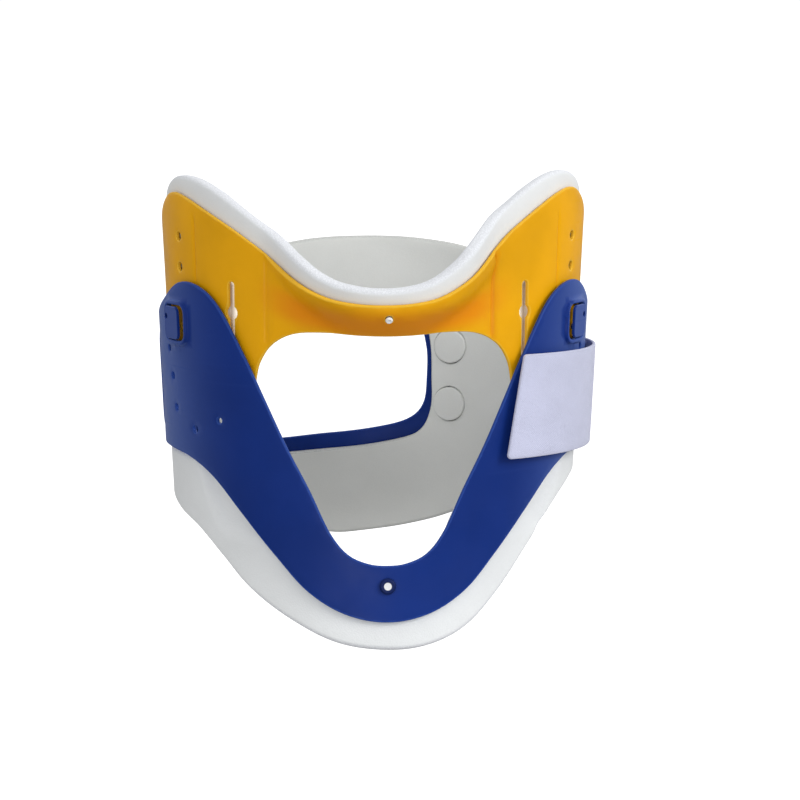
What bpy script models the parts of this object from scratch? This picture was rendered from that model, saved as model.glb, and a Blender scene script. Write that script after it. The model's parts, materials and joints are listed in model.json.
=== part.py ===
"""Adjustable cervical collar: a chest piece, a chin piece that slides inside it, and a rear panel.

Every sheet of the collar is drawn flat and then wrapped round the neck. A flat point is (u, z): u runs
round the neck from the front centre, positive towards +X, and z is the height. A rear piece is drawn with
s instead of u, which runs from the back centre, also positive towards +X. A depth d counts outwards, at a
right angle to the wrapped surface. All drawing sizes are millimetres, and meshes are made in metres.
The origin is on the neck's axis, half way up the collar's side walls. The front of the collar faces -Y.
"""

import math

import bmesh
import bpy
import numpy as np
from mathutils import Matrix, Vector
from mathutils.geometry import delaunay_2d_cdt

MM = 0.001

# The wrapped surface
HALF_WIDTH = 80.0
HALF_DEPTH = 74.0
SIDE_LEAN = 0.045
LEAN_STARTS, LEAN_FULL = 40.0, 100.0
SHELF_SLOPE, LIP_SLOPE = 1.15, 0.35
SHELF_BASE, SHELF_BASE_BEND, SHELF_TURN = 37.0, 0.0135, 10.0
LIP_BASE, LIP_BASE_BEND, LIP_TURN = 46.5, 0.0093, 6.0
SHELF_FULL, SHELF_ENDS = 26.0, 55.0
CHEST_FLARE = 0.0035
FLARE_BELOW = -38.0

# Layers, from the neck outwards
SHEET = 1.5
FOAM = 5.0
GAP = 0.3
SLIDE_GAP = 1.9
CHIN_INNER = GAP
CHIN_OUTER = CHIN_INNER + SHEET
PAD_FACE = -0.4
CHEST_INNER = CHIN_OUTER + SLIDE_GAP
CHEST_OUTER = CHEST_INNER + SHEET
LAP_INNER = CHEST_OUTER + GAP
PATCH_OUTER = LAP_INNER + 1.0
PAD_INNER = PATCH_OUTER + GAP
PAD_OUTER = PAD_INNER + 1.0
STRAP_INNER = PAD_OUTER + GAP
STRAP = 1.4
REAR_INNER = 1.3
REAR_OUTER = REAR_INNER + SHEET
ROOT_INNER = REAR_OUTER + GAP
LAP_RISE = LAP_INNER - REAR_INNER
BIB_RISE = CHEST_INNER - GAP

# The wings' details, which are set a little towards the wearer's right, and their small holes
WING_SHIFT = 2.2
WING_HOLES = (
    (96.3, 28.6, 1.3), (93.8, 17.8, 1.5), (91.8, 5.4, 1.5), (77.8, -1.6, 1.5), (63.8, 3.2, 1.1),
)

# Chin height: four settings, one hole apart
HOLE_PITCH = 12.0
HOLE_COUNT = 4
HOLE_RADIUS = 1.8
LOCK_U, LOCK_Z = 89.8, 39.5
PEG_Z = 37.0
PEG_RADIUS = 1.2
LOCK_WINDOW = (82.0, 96.0, 32.5, 46.5)
WINDOW_CORNER = 3.0
FRAME_WIDTH, FRAME_FOOT, FRAME_HEIGHT = 1.4, 0.7, 1.3
LOCK_SLIT, LOCK_SLOT = 0.6, 1.6
LOCK_PLATE = 1.2
PEG_TIP = 3.5
PEG_LENGTH = 2.4
GUIDE_U, GUIDE_Z = 60.0, 14.0
SLOT_HALF_WIDTH = 1.3
SLOT_LOW, SLOT_HIGH = 11.4, 57.0
KEYHOLE_Z, KEYHOLE_RADIUS = 45.0, 2.7
STUD_RADIUS = 1.0

# Rear panel and strap
HINGE_U = -158.0
HINGE_GAP = 1.6
SIDE_RIVET_U = -141.0
SIDE_RIVET_Z = (-1.0, 25.0)
STRAP_RIVET_S = 41.5
STRAP_RIVET_Z = (-7.0, 18.0)
FOLD_REACH = 20.0
ROOT_END = 47.0
ROOT_GAP = 2.0
STRAP_LOW, STRAP_HIGH = -14.5, 25.5
STRAP_END_LOW, STRAP_END_HIGH = (198.0, -10.5), (190.5, 29.5)
COVER_RADIUS = 6.8

# Rivets
RIVET_HOLE = 2.0
RIVET_SHANK = 1.4
CHEST_RIVET_Z, CHIN_RIVET_Z = -58.0, 46.5
CHIN_RIVET_HOLE = 1.1
RIVET_ENDS = ("lower", "upper")

# Thinned lines in the chin shell
FOLD_U = 44.4
STRIP_U, STRIP_TOP = 79.0, 83.0

# Division of the meshes
LINE_STEP = 8.0
TURN_STEPS = 14

YELLOW = (0.83, 0.40, 0.010)
BLUE = (0.018, 0.052, 0.26)
DARK_BLUE = (0.018, 0.045, 0.19)
PALE_FOAM = (0.78, 0.81, 0.84)
GREY_FOAM = (0.52, 0.53, 0.51)
LILAC_WEB = (0.60, 0.61, 0.78)
WHITE = (0.85, 0.86, 0.88)

# Outlines, one half from the front centre line round the wing and back to the centre line
CHEST_HALF = (
    (0, -72), (15, -69), (29, -60.5), (42, -47), (56, -32), (70, -19.5), (84, -13.5), (100, -12),
    (126, -12), (143, -11), (150.5, -4), (151.5, 13), (149.5, 31), (141, 36), (122, 40), (104, 47.5),
    (88, 55.5), (76, 54.5), (66, 47), (55, 30), (46, 13), (37, -5), (28.5, -21), (21, -37),
    (14.5, -45.5), (7, -49.2), (0, -50),
)
CHIN_HALF = (
    (0, 51), (10, 51.6), (20, 54), (32, 60.5), (45, 69.5), (57, 77.5), (70, 85), (82, 90.5),
    (92, 92), (103, 87.5), (116, 79), (128, 67), (135, 52), (136, 38), (130, 28), (118, 26),
    (96, 25.5), (84, 23), (74, 16), (67, 8.5), (60.5, 6), (55, 7.5), (52.5, 13), (51.5, 20),
    (49.5, 27), (44, 34), (34, 38.4), (18, 39), (0, 39),
)
CHIN_FOAM_HALF = (
    (0, 55.5), (10, 56.5), (19, 59.5), (30, 67), (42, 76.5), (54, 85), (66, 92.5), (79, 97.5), (93, 98),
    (109, 92), (124, 81), (134, 66), (138.5, 50), (137.5, 37), (129, 30), (112, 29), (90, 29),
    (74, 27), (62, 25), (55.5, 26.5), (51, 32), (43, 38.5), (32, 41.5), (16, 41.8), (0, 41.8),
)
CHIN_SKEW, CHIN_DROP = 5.0, 2.0
CHEST_FOAM = (
    (0, -82), (15, -80.5), (29, -74.5), (43, -63), (59, -48), (78, -33), (98, -25.5), (120, -24),
    (137, -23), (142, -18), (139, -14), (120, -13.4), (90, -13.4), (60, -13.4), (46, -14.5),
    (36, -17.5), (30.5, -26), (23, -39.5), (15.5, -48.5), (7.5, -52.3), (0, -53), (-7.5, -52.3),
    (-15.5, -48.5), (-23, -39.5), (-30.5, -26), (-36, -17.5), (-46, -14.5), (-60, -13.4),
    (-90, -13.4), (-120, -13.4), (-139, -14), (-143, -20), (-141, -29), (-130, -33), (-115, -35),
    (-100, -38), (-84, -42), (-68, -51), (-54, -61), (-36, -71.5), (-18, -79.5),
)
# Rear outlines, from the bottom centre round the right end and the left end
REAR_SHELL = (
    (0, -55), (20, -52), (42, -46), (62, -35), (78, -25), (90, -16.5), (100, -9), (102, 9),
    (100, 28), (91, 34), (76, 41), (56, 50), (34, 55), (0, 57), (-34, 54.5), (-58, 48), (-76, 39),
    (-84, 31), (-84.5, 8), (-84, -15), (-77, -27), (-60, -41), (-38, -51), (-18, -54.5),
)
REAR_FOAM = (
    (0, -64), (21, -61), (42, -55), (61, -45), (77, -31), (85.5, -12), (86.5, 12), (83.5, 33),
    (71, 49), (51, 60), (26, 64.5), (0, 65.5), (-26, 64), (-50, 58.5), (-68, 47), (-77.5, 31),
    (-79.5, 9), (-78, -14), (-71, -34), (-55, -50), (-34, -60), (-15, -64.3),
)
REAR_SHELL_WINDOW = (
    (-45, -21.5), (-15, -21), (5, -19), (20, -15), (27, -8), (28.5, 4), (28, 18), (23, 30.5),
    (8, 36), (-22, 37), (-50, 34), (-60, 25), (-62.5, 6), (-59, -13),
)
REAR_FOAM_WINDOW = (
    (-46, -27.5), (-12, -27.5), (10, -25), (26, -20), (32, -10), (32.5, 4), (31.5, 20), (26.5, 34.5),
    (10, 40.5), (-22, 41.5), (-52, 38.5), (-64.5, 27), (-67.5, 6), (-64, -18),
)


def smooth_step(x):
    x = min(1.0, max(0.0, x))
    return x * x * (3 - 2 * x)


def step_sum(x):
    """The area under smooth_step from 0 to x."""
    if x <= 0:
        return 0.0
    return x**3 - x**4 / 2 if x < 1 else x - 0.5


def bend_out(z, base, turn):
    """How far a line has gone sideways at z, at slope 1 above base, with its corner eased over turn."""
    return turn * step_sum((z - base) / turn + 0.5)


def plan_table(steps=4000):
    """Arc lengths along the neck's plan ellipse against the ellipse's own angle, from the front."""
    turn = np.linspace(0, 2 * np.pi, steps + 1)
    x = HALF_WIDTH * np.sin(turn)
    y = -HALF_DEPTH * np.cos(turn)
    length = np.concatenate([[0], np.cumsum(np.hypot(np.diff(x), np.diff(y)))])
    return length, turn


PLAN_LENGTH, PLAN_TURN = plan_table()
GIRTH = float(PLAN_LENGTH[-1])
HALF_GIRTH = GIRTH / 2


def wall_point(u, z):
    """The wrapped surface at depth 0: an oval wall, leaning out at the sides. At the top of the front it
    folds out along an arched line into a shelf for the chin, and at the bottom it flares over the chest."""
    turn = np.interp(u % GIRTH, PLAN_LENGTH, PLAN_TURN)
    sine, cosine = math.sin(turn), math.cos(turn)
    normal = Vector((HALF_DEPTH * sine, -HALF_WIDTH * cosine, 0)).normalized()
    across = abs((u + HALF_GIRTH) % GIRTH - HALF_GIRTH)
    lean = SIDE_LEAN * z * smooth_step((across - LEAN_STARTS) / (LEAN_FULL - LEAN_STARTS))
    shelf_share = smooth_step((SHELF_ENDS - across) / (SHELF_ENDS - SHELF_FULL))
    shelf = SHELF_SLOPE * bend_out(z, SHELF_BASE + SHELF_BASE_BEND * across**2, SHELF_TURN)
    lip = (SHELF_SLOPE - LIP_SLOPE) * bend_out(z, LIP_BASE + LIP_BASE_BEND * across**2, LIP_TURN)
    flare = CHEST_FLARE * max(0.0, FLARE_BELOW - z) ** 2 * smooth_step((100 - across) / 50)
    out = lean + (shelf - lip) * shelf_share + flare
    return Vector((HALF_WIDTH * sine, -HALF_DEPTH * cosine, z)) + normal * out


def wall_normal(u, z, step=0.05):
    along = wall_point(u + step, z) - wall_point(u - step, z)
    upward = wall_point(u, z + step) - wall_point(u, z - step)
    return along.cross(upward).normalized()


def wrapped(u, z, d):
    return wall_point(u, z) + wall_normal(u, z) * d


def rear_rise(u, z):
    """The rear panel steps outwards near its ends, to pass over the chest piece's wings."""
    s = rear(u)
    return LAP_RISE * max(smooth_step((s - 58) / 32), smooth_step((-54 - s) / 28))


def strap_rise(u, z):
    return (STRAP_INNER - ROOT_INNER) * smooth_step((rear(u) - 58) / 32)


def bib_rise(u, z):
    """The chest foam comes up to the chest shell below the space that the chin piece slides in."""
    across = abs(u)
    top = -34 + 30 * smooth_step((across - 66) / 22)
    return (BIB_RISE - GAP) * smooth_step((top - z) / 9)


def wing_u(side, reach):
    return side * reach - WING_SHIFT


def rear(u):
    """The rear coordinate s of a point at u, and the other way round."""
    return HALF_GIRTH - u % GIRTH


def mirrored(half):
    return list(half) + [(-u, z) for u, z in half[-2:0:-1]]


def skewed(outline):
    """The tops of the chin piece's wings are turned a little towards the wearer's right, where the wing
    is also a little lower."""
    for point in outline:
        lowered = smooth_step((-point.x - 40) / 50) * smooth_step((point.y - 50) / 40)
        point.x -= CHIN_SKEW * smooth_step((point.y - 30) / 60)
        point.y -= CHIN_DROP * lowered
    return outline


def spline(points, spacing=5.0):
    """A closed smooth curve through the points (Catmull-Rom)."""
    count = len(points)
    curve = []
    for i in range(count):
        a, b, c, d = (Vector(points[(i + k) % count]) for k in (-1, 0, 1, 2))
        pieces = max(1, round((c - b).length / spacing))
        for k in range(pieces):
            t = k / pieces
            bend = 2 * b + (c - a) * t + (2 * a - 5 * b + 4 * c - d) * t**2
            curve.append((bend + (3 * b - a - 3 * c + d) * t**3) / 2)
    return curve


def arc(centre, radius, start, end, steps):
    """Points round an arc, with angles in degrees."""
    turns = [math.radians(start + (end - start) * i / steps) for i in range(steps + 1)]
    return [Vector((centre[0] + radius * math.cos(a), centre[1] + radius * math.sin(a))) for a in turns]


def circle(u, z, radius, steps=10):
    return arc((u, z), radius, 0, 360, steps)[:-1]


def rounded(corners, radius, steps=4):
    """A polygon, drawn anticlockwise, with its corners rounded."""
    outline = []
    count = len(corners)
    for i in range(count):
        before, here, after = (Vector(corners[(i + k) % count]) for k in (-1, 0, 1))
        back, ahead = (before - here).normalized(), (after - here).normalized()
        half = back.angle(ahead) / 2
        start = here + back * radius / math.tan(half)
        end = here + ahead * radius / math.tan(half)
        middle = here + (back + ahead).normalized() * radius / math.sin(half)
        first, last = start - middle, end - middle
        outline += [middle + first.slerp(last, k / steps) * radius for k in range(steps + 1)]
    return outline


def keyhole_slot(u):
    """The guide slot: long and narrow, with one round widening that lets a stud's foot through."""
    spread = math.degrees(math.asin(SLOT_HALF_WIDTH / KEYHOLE_RADIUS))
    low = (u, SLOT_LOW + SLOT_HALF_WIDTH)
    high = (u, SLOT_HIGH - SLOT_HALF_WIDTH)
    middle = (u, KEYHOLE_Z)
    return (
        arc(low, SLOT_HALF_WIDTH, 180, 360, 6)
        + arc(middle, KEYHOLE_RADIUS, spread - 90, 90 - spread, 5)
        + arc(high, SLOT_HALF_WIDTH, 0, 180, 6)
        + arc(middle, KEYHOLE_RADIUS, 90 + spread, 270 - spread, 5)
    )


def box_outline(low_u, high_u, low_z, high_z, radius):
    corners = ((low_u, low_z), (high_u, low_z), (high_u, high_z), (low_u, high_z))
    return rounded(corners, radius)


def around(middle, reach):
    return middle - reach, middle + reach


def lock_window(side, spread=0.0):
    low_u, high_u, low_z, high_z = LOCK_WINDOW
    ends = sorted((wing_u(side, low_u - spread), wing_u(side, high_u + spread)))
    return box_outline(ends[0], ends[1], low_z - spread, high_z + spread, WINDOW_CORNER + spread)


def window_distance(u, z):
    """How far a flat point is outside the nearer lock window."""
    low_u, high_u, low_z, high_z = LOCK_WINDOW
    across = abs(abs(u + WING_SHIFT) - (low_u + high_u) / 2) - (high_u - low_u) / 2 + WINDOW_CORNER
    upward = abs(z - (low_z + high_z) / 2) - (high_z - low_z) / 2 + WINDOW_CORNER
    return math.hypot(max(across, 0), max(upward, 0)) - WINDOW_CORNER


def push_loop(loop, distance):
    """Moves each point of a closed loop to its right-hand side, which is away from a solid on its left."""
    moved = []
    count = len(loop)
    for i in range(count):
        before, here, after = loop[i - 1], loop[i], loop[(i + 1) % count]
        first, last = (here - before).normalized(), (after - here).normalized()
        side = Vector((first.y + last.y, -first.x - last.x)).normalized()
        stretch = max(0.6, side.dot(Vector((first.y, -first.x))))
        moved.append(here + side * distance / stretch)
    return moved


def signed_area(loop):
    return sum(loop[i - 1].cross(loop[i]) for i in range(len(loop))) / 2


def turned_left(loop, solid_inside):
    loop = [Vector(point) for point in loop]
    return loop if (signed_area(loop) > 0) == solid_inside else loop[::-1]


def inside(point, loop):
    found = False
    for i in range(len(loop)):
        a, b = loop[i - 1], loop[i]
        if (a.y > point.y) != (b.y > point.y):
            found ^= point.x < a.x + (b.x - a.x) * (point.y - a.y) / (b.y - a.y)
    return found


def snapped(loop, u_lines, z_lines, reach=0.4):
    """Points that nearly lie on a dividing line are moved onto it, so no sliver is made there."""
    for point in loop:
        for axis, lines in ((0, u_lines), (1, z_lines)):
            for line in lines:
                if abs(line - point[axis]) < reach:
                    point[axis] = line


def divided(outline, holes, u_lines=(), z_lines=(), marks=()):
    """Triangles of the flat shape, divided along the lines and the marks: (points, triangles)."""
    points, edges = [], []
    for loop in [outline] + holes:
        start = len(points)
        points += loop
        edges += [(start + i, start + (i + 1) % len(loop)) for i in range(len(loop))]
    low = Vector((min(p.x for p in outline) - 1, min(p.y for p in outline) - 1))
    high = Vector((max(p.x for p in outline) + 1, max(p.y for p in outline) + 1))
    ends = [((u, low.y), (u, high.y)) for u in u_lines if low.x < u < high.x]
    ends += [((low.x, z), (high.x, z)) for z in z_lines if low.y < z < high.y]
    ends += marks
    for start, end in ends:
        edges.append((len(points), len(points) + 1))
        points += [Vector(start), Vector(end)]
    made = delaunay_2d_cdt(points, edges, [], 0, 1e-5)
    corners, triangles = made[0], []
    for face in made[2]:
        middle = sum((corners[i] for i in face), Vector((0, 0))) / 3
        if inside(middle, outline) and not any(inside(middle, hole) for hole in holes):
            triangles.append(tuple(face))
    return corners, triangles


def rim_loops(triangles):
    """The directed edges that only one triangle has, joined into loops."""
    edges = {(t[i], t[(i + 1) % 3]) for t in triangles for i in range(3)}
    following = {a: b for a, b in edges if (b, a) not in edges}
    loops = []
    while following:
        start, here = following.popitem()
        loop = [start]
        while here != start:
            loop.append(here)
            here = following.pop(here)
        loops.append(loop)
    return loops


def grid_lines(low, high):
    return [k * LINE_STEP for k in range(math.ceil(low / LINE_STEP), int(high // LINE_STEP) + 1)]


def surface_material(name, colour, roughness):
    material = bpy.data.materials.new(name + "_material")
    material.use_nodes = True
    shader = material.node_tree.nodes["Principled BSDF"]
    shader.inputs["Base Color"].default_value = (*colour, 1)
    shader.inputs["Roughness"].default_value = roughness
    shader.inputs["Metallic"].default_value = 0
    material.diffuse_color = (*colour, 1)
    return material


def extruded(corners, triangles, place, depths, edge):
    """A closed solid from a flat shape. The sides between the first depth and the last stand out by edge."""
    bm = bmesh.new()
    used = sorted({i for t in triangles for i in t})
    front = {i: bm.verts.new(place(corners[i], depths[0])) for i in used}
    back = {i: bm.verts.new(place(corners[i], depths[-1])) for i in used}
    for a, b, c in triangles:
        bm.faces.new((front[a], front[b], front[c]))
        bm.faces.new((back[c], back[b], back[a]))
    for loop in rim_loops(triangles):
        pushed = push_loop([corners[i] for i in loop], edge)
        rings = [[front[i] for i in loop]]
        rings += [[bm.verts.new(place(point, depth)) for point in pushed] for depth in depths[1:-1]]
        rings += [[back[i] for i in loop]]
        for upper, lower in zip(rings, rings[1:]):
            for i in range(len(loop)):
                bm.faces.new((upper[i - 1], lower[i - 1], lower[i], upper[i]))
    return bm


def eased_depths(inner, outer, edge):
    return (outer, outer - edge, inner + edge, inner) if edge else (outer, inner)


def new_object(name, bm, colour, roughness=0.45, place=Matrix.Identity(4), helper=False):
    """One object from a closed bmesh in millimetres, placed by a matrix in millimetres."""
    bmesh.ops.scale(bm, vec=(MM, MM, MM), verts=bm.verts)
    bmesh.ops.recalc_face_normals(bm, faces=bm.faces)
    mesh = bpy.data.meshes.new(name)
    bm.to_mesh(mesh)
    bm.free()
    mesh.shade_smooth()
    mesh.set_sharp_from_angle(angle=math.radians(32))
    mesh.materials.append(surface_material(name, colour, roughness))
    obj = bpy.data.objects.new(name, mesh)
    bpy.context.collection.objects.link(obj)
    obj.matrix_world = Matrix.Translation(place.translation * MM) @ place.to_3x3().to_4x4()
    if helper:
        obj.hide_render = True
        obj.display_type = "WIRE"
    return obj


def sheet(name, outline, holes, inner, outer, colour, roughness=0.45, rise=None, relief=None,
          at_back=False, edge=0.4, marks=(), helper=False):
    """Wraps a flat shape round the neck as a solid between two depths, with its edges eased."""
    outline = push_loop(turned_left(outline, True), -edge)
    holes = [push_loop(turned_left(hole, False), -edge) for hole in holes]
    across = [p.x for p in outline]
    heights = [p.y for p in outline]
    if at_back:
        lines = grid_lines(HALF_GIRTH - max(across), HALF_GIRTH - min(across))
        u_lines = [HALF_GIRTH - line for line in lines]
    else:
        u_lines = grid_lines(min(across), max(across))
    z_lines = grid_lines(min(heights), max(heights))
    for loop in [outline] + holes:
        snapped(loop, u_lines, z_lines)
    corners, triangles = divided(outline, holes, u_lines, z_lines, marks)

    def place(point, depth):
        u = HALF_GIRTH - point.x if at_back else point.x
        if relief and depth == outer:
            depth += relief(point)
        if rise:
            depth += rise(u, point.y)
        return wrapped(u, point.y, depth)

    bm = extruded(corners, triangles, place, eased_depths(inner, outer, edge), edge)
    return new_object(name, bm, colour, roughness, helper=helper)


def plate(name, outline, holes, low, high, place, colour, helper=False):
    """A flat piece: an outline in a frame's XY plane, extruded along its Z, with eased edges."""
    edge = 0.25
    outline = push_loop(turned_left(outline, True), -edge)
    holes = [push_loop(turned_left(hole, False), -edge) for hole in holes]
    corners, triangles = divided(outline, holes)

    def raised(point, depth):
        return Vector((point.x, point.y, depth))

    bm = extruded(corners, triangles, raised, eased_depths(low, high, edge), edge)
    return new_object(name, bm, colour, place=place, helper=helper)


def frame_at(u, z, rise=0.0):
    """A frame on the wall at depth rise: local Z points outwards, and local X runs round the neck."""
    outward = wall_normal(u, z)
    upward = Vector((0, 0, 1))
    along = upward.cross(outward).normalized()
    frame = Matrix((along, outward.cross(along), outward)).transposed().to_4x4()
    frame.translation = wrapped(u, z, rise)
    return frame


def turned(name, profile, place, colour, ring=False, roughness=0.4):
    """A solid of revolution about local Z from (radius, depth) points. A ring's profile is closed."""
    bm = bmesh.new()
    columns = []
    for radius, depth in profile:
        if radius == 0:
            columns.append([bm.verts.new((0, 0, depth))] * TURN_STEPS)
            continue
        turns = [2 * math.pi * k / TURN_STEPS for k in range(TURN_STEPS)]
        columns.append([bm.verts.new((radius * math.cos(a), radius * math.sin(a), depth)) for a in turns])
    pairs = list(zip(columns, columns[1:]))
    if ring:
        pairs.append((columns[-1], columns[0]))
    for lower, upper in pairs:
        for k in range(TURN_STEPS):
            corners = (lower[k - 1], lower[k], upper[k], upper[k - 1])
            bm.faces.new(list(dict.fromkeys(corners)))
    return new_object(name, bm, colour, roughness, place)


def modified(obj, operation, tools):
    for tool in tools:
        modifier = obj.modifiers.new(tool.name, "BOOLEAN")
        modifier.operation = operation
        modifier.solver = "EXACT"
        modifier.object = tool
    return obj


def clear_scene():
    for obj in list(bpy.data.objects):
        bpy.data.objects.remove(obj)


def chest_relief(point):
    """A frame that stands up round each lock window."""
    return FRAME_HEIGHT if window_distance(*point) < FRAME_WIDTH + 0.1 else 0.0


def frame_marks():
    """Dividing marks along the shoulder and the foot of each lock window's frame."""
    marks = []
    for side in (-1, 1):
        for spread in (FRAME_WIDTH, FRAME_WIDTH + FRAME_FOOT):
            loop = lock_window(side, spread)
            marks += [(loop[i - 1], loop[i]) for i in range(len(loop))]
    return marks


def chest_shell():
    holes = [circle(0, CHEST_RIVET_Z, RIVET_HOLE)]
    holes += [circle(SIDE_RIVET_U, z, RIVET_HOLE) for z in SIDE_RIVET_Z]
    for side in (-1, 1):
        holes.append(lock_window(side))
        holes += [circle(wing_u(side, reach), z, radius) for reach, z, radius in WING_HOLES]
    sheet("chest_shell", spline(mirrored(CHEST_HALF)), holes, CHEST_INNER, CHEST_OUTER, BLUE, 0.38,
          relief=chest_relief, marks=frame_marks())


def chest_foam():
    holes = [circle(0, CHEST_RIVET_Z, RIVET_HOLE)]
    sheet("chest_foam", spline(CHEST_FOAM), holes, -FOAM, 0.0, PALE_FOAM, 0.9, rise=bib_rise, edge=0)


def chin_relief(point):
    """Thinned lines: a fold each side of the chin shelf, and one beside each column of holes."""
    across = abs(point.x + WING_SHIFT)
    if abs(across - FOLD_U) < 0.5:
        return -0.6
    if abs(across - STRIP_U) < 0.4 and point.y < STRIP_TOP - 0.5:
        return -0.5
    return 0.0


def shelf_marks():
    """Dividing marks where the wall bends into the chin shelf."""
    rows = [LINE_STEP * (k + 0.5) for k in range(4, 9)]
    columns = [LINE_STEP * (k + 0.5) for k in range(-7, 7)]
    marks = [((-SHELF_ENDS, z), (SHELF_ENDS, z)) for z in rows]
    return marks + [((u, 30), (u, 80)) for u in columns]


def groove_marks():
    """Dividing marks along both edges and both shoulders of each thinned line."""
    marks = []
    for side in (-1, 1):
        for offset in (-0.9, -0.3, 0.3, 0.9):
            fold, strip = wing_u(side, FOLD_U + offset), wing_u(side, STRIP_U + offset)
            marks.append(((fold, 25), (fold, 75)))
            marks.append(((strip, 10), (strip, STRIP_TOP - abs(offset) / 2)))
    return marks


def chin_shell():
    holes = [circle(0, CHIN_RIVET_Z, CHIN_RIVET_HOLE)]
    for side in (-1, 1):
        holes.append(keyhole_slot(wing_u(side, GUIDE_U)))
        peg_u = wing_u(side, LOCK_U)
        holes += [circle(peg_u, PEG_Z + HOLE_PITCH * k, HOLE_RADIUS) for k in range(HOLE_COUNT)]
    sheet("chin_shell", skewed(spline(mirrored(CHIN_HALF))), holes, CHIN_INNER, CHIN_OUTER, YELLOW, 0.36,
          relief=chin_relief, marks=shelf_marks() + groove_marks(), edge=0.35)


def chin_foam():
    """The groove behind each guide slot clears the stud's foot, and the shallow one behind each column
    of holes clears the tip of a pressed peg."""
    holes = [circle(0, CHIN_RIVET_Z, CHIN_RIVET_HOLE + 0.8)]
    outline = skewed(spline(mirrored(CHIN_FOAM_HALF)))
    foam = sheet("chin_foam", outline, holes, PAD_FACE - FOAM, PAD_FACE, PALE_FOAM, 0.9,
                 marks=shelf_marks(), edge=0)
    top_hole = PEG_Z + HOLE_PITCH * (HOLE_COUNT - 1)
    cutters = []
    for side in (-1, 1):
        guide = box_outline(*around(wing_u(side, GUIDE_U), 4.6), 15, 56, 4.0)
        cutters.append(sheet(f"guide_cutter_{side}", guide, [], -2.2, 1.5, PALE_FOAM, helper=True))
        column = box_outline(*around(wing_u(side, LOCK_U), 2.2), PEG_Z - 2.2, top_hole + 2.2, 1.8)
        cutters.append(sheet(f"column_cutter_{side}", column, [], -0.9, 1.5, PALE_FOAM, helper=True))
    modified(foam, "DIFFERENCE", cutters)


def rear_shell():
    holes = [spline(REAR_SHELL_WINDOW)]
    holes += [circle(STRAP_RIVET_S, z, RIVET_HOLE) for z in STRAP_RIVET_Z]
    outline = spline(REAR_SHELL)
    fold_edge = rear(HINGE_U) + HINGE_GAP / 2
    for point in outline:
        point.x = max(point.x, fold_edge)
    sheet("rear_shell", outline, holes, REAR_INNER, REAR_OUTER, BLUE, 0.38, rise=rear_rise, at_back=True)


def rear_foam():
    holes = [spline(REAR_FOAM_WINDOW)]
    holes += [circle(STRAP_RIVET_S, z, COVER_RADIUS + 0.7, 18) for z in STRAP_RIVET_Z]
    sheet("rear_foam", spline(REAR_FOAM), holes, REAR_INNER - GAP - FOAM - 1, REAR_INNER - GAP, GREY_FOAM,
          0.9, rise=rear_rise, at_back=True, edge=0)


def rear_tab():
    """The riveted end of the rear sheet, on the other side of its thinned fold."""
    inner_end = HINGE_U + HINGE_GAP / 2
    corners = ((inner_end, -14), (-132.5, -9), (-132.5, 32), (inner_end, 30))
    holes = [circle(SIDE_RIVET_U, z, RIVET_HOLE) for z in SIDE_RIVET_Z]
    sheet("rear_tab", rounded(corners, 3.0), holes, LAP_INNER, LAP_INNER + SHEET, BLUE, 0.38)


def closure_strap():
    rivets = [circle(STRAP_RIVET_S, z, RIVET_HOLE) for z in STRAP_RIVET_Z]
    root = ((29, STRAP_LOW), (ROOT_END, STRAP_LOW), (ROOT_END, STRAP_HIGH), (29, STRAP_HIGH))
    sheet("strap_root", rounded(root, 1.5), rivets, ROOT_INNER, ROOT_INNER + STRAP, LILAC_WEB, 0.85,
          at_back=True, edge=0)
    free = ROOT_END + ROOT_GAP
    strap = ((free, STRAP_LOW), STRAP_END_LOW, STRAP_END_HIGH, (free, STRAP_HIGH))
    sheet("closure_strap", rounded(strap, 1.5), [], ROOT_INNER, ROOT_INNER + STRAP, LILAC_WEB, 0.85,
          rise=strap_rise, at_back=True, edge=0)
    sheet("strap_hook_pad", box_outline(57, 112, -8, 26, 3.0), [], PAD_INNER, PAD_OUTER, WHITE, 0.9,
          edge=0)
    sheet("front_loop_patch", box_outline(60, 116, -7, 25, 3.0), [], LAP_INNER, PATCH_OUTER, DARK_BLUE,
          0.95, edge=0)


def size_locks():
    """Push buttons in the chest shell's windows. A pressed button's peg enters a hole of the chin shell."""
    low_u, high_u, low_z, high_z = LOCK_WINDOW
    for name, side in (("left", -1), ("right", 1)):
        ends = sorted((side * (low_u + LOCK_SLOT - LOCK_U), side * (high_u - LOCK_SLIT - LOCK_U)))
        low, high = low_z + LOCK_SLIT - LOCK_Z, high_z - LOCK_SLIT - LOCK_Z
        place = frame_at(wing_u(side, LOCK_U), LOCK_Z)
        face = PEG_TIP + PEG_LENGTH
        outline = box_outline(ends[0], ends[1], low, high, 2.4)
        eye = circle(side * 4.0, 2.3, 1.1)
        button = plate(f"size_lock_{name}", outline, [eye], face, face + LOCK_PLATE, place, BLUE)
        peg = plate(f"peg_{name}", circle(0, PEG_Z - LOCK_Z, PEG_RADIUS), [], PEG_TIP, face + 0.6, place,
                    BLUE, helper=True)
        modified(button, "UNION", [peg])


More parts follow.
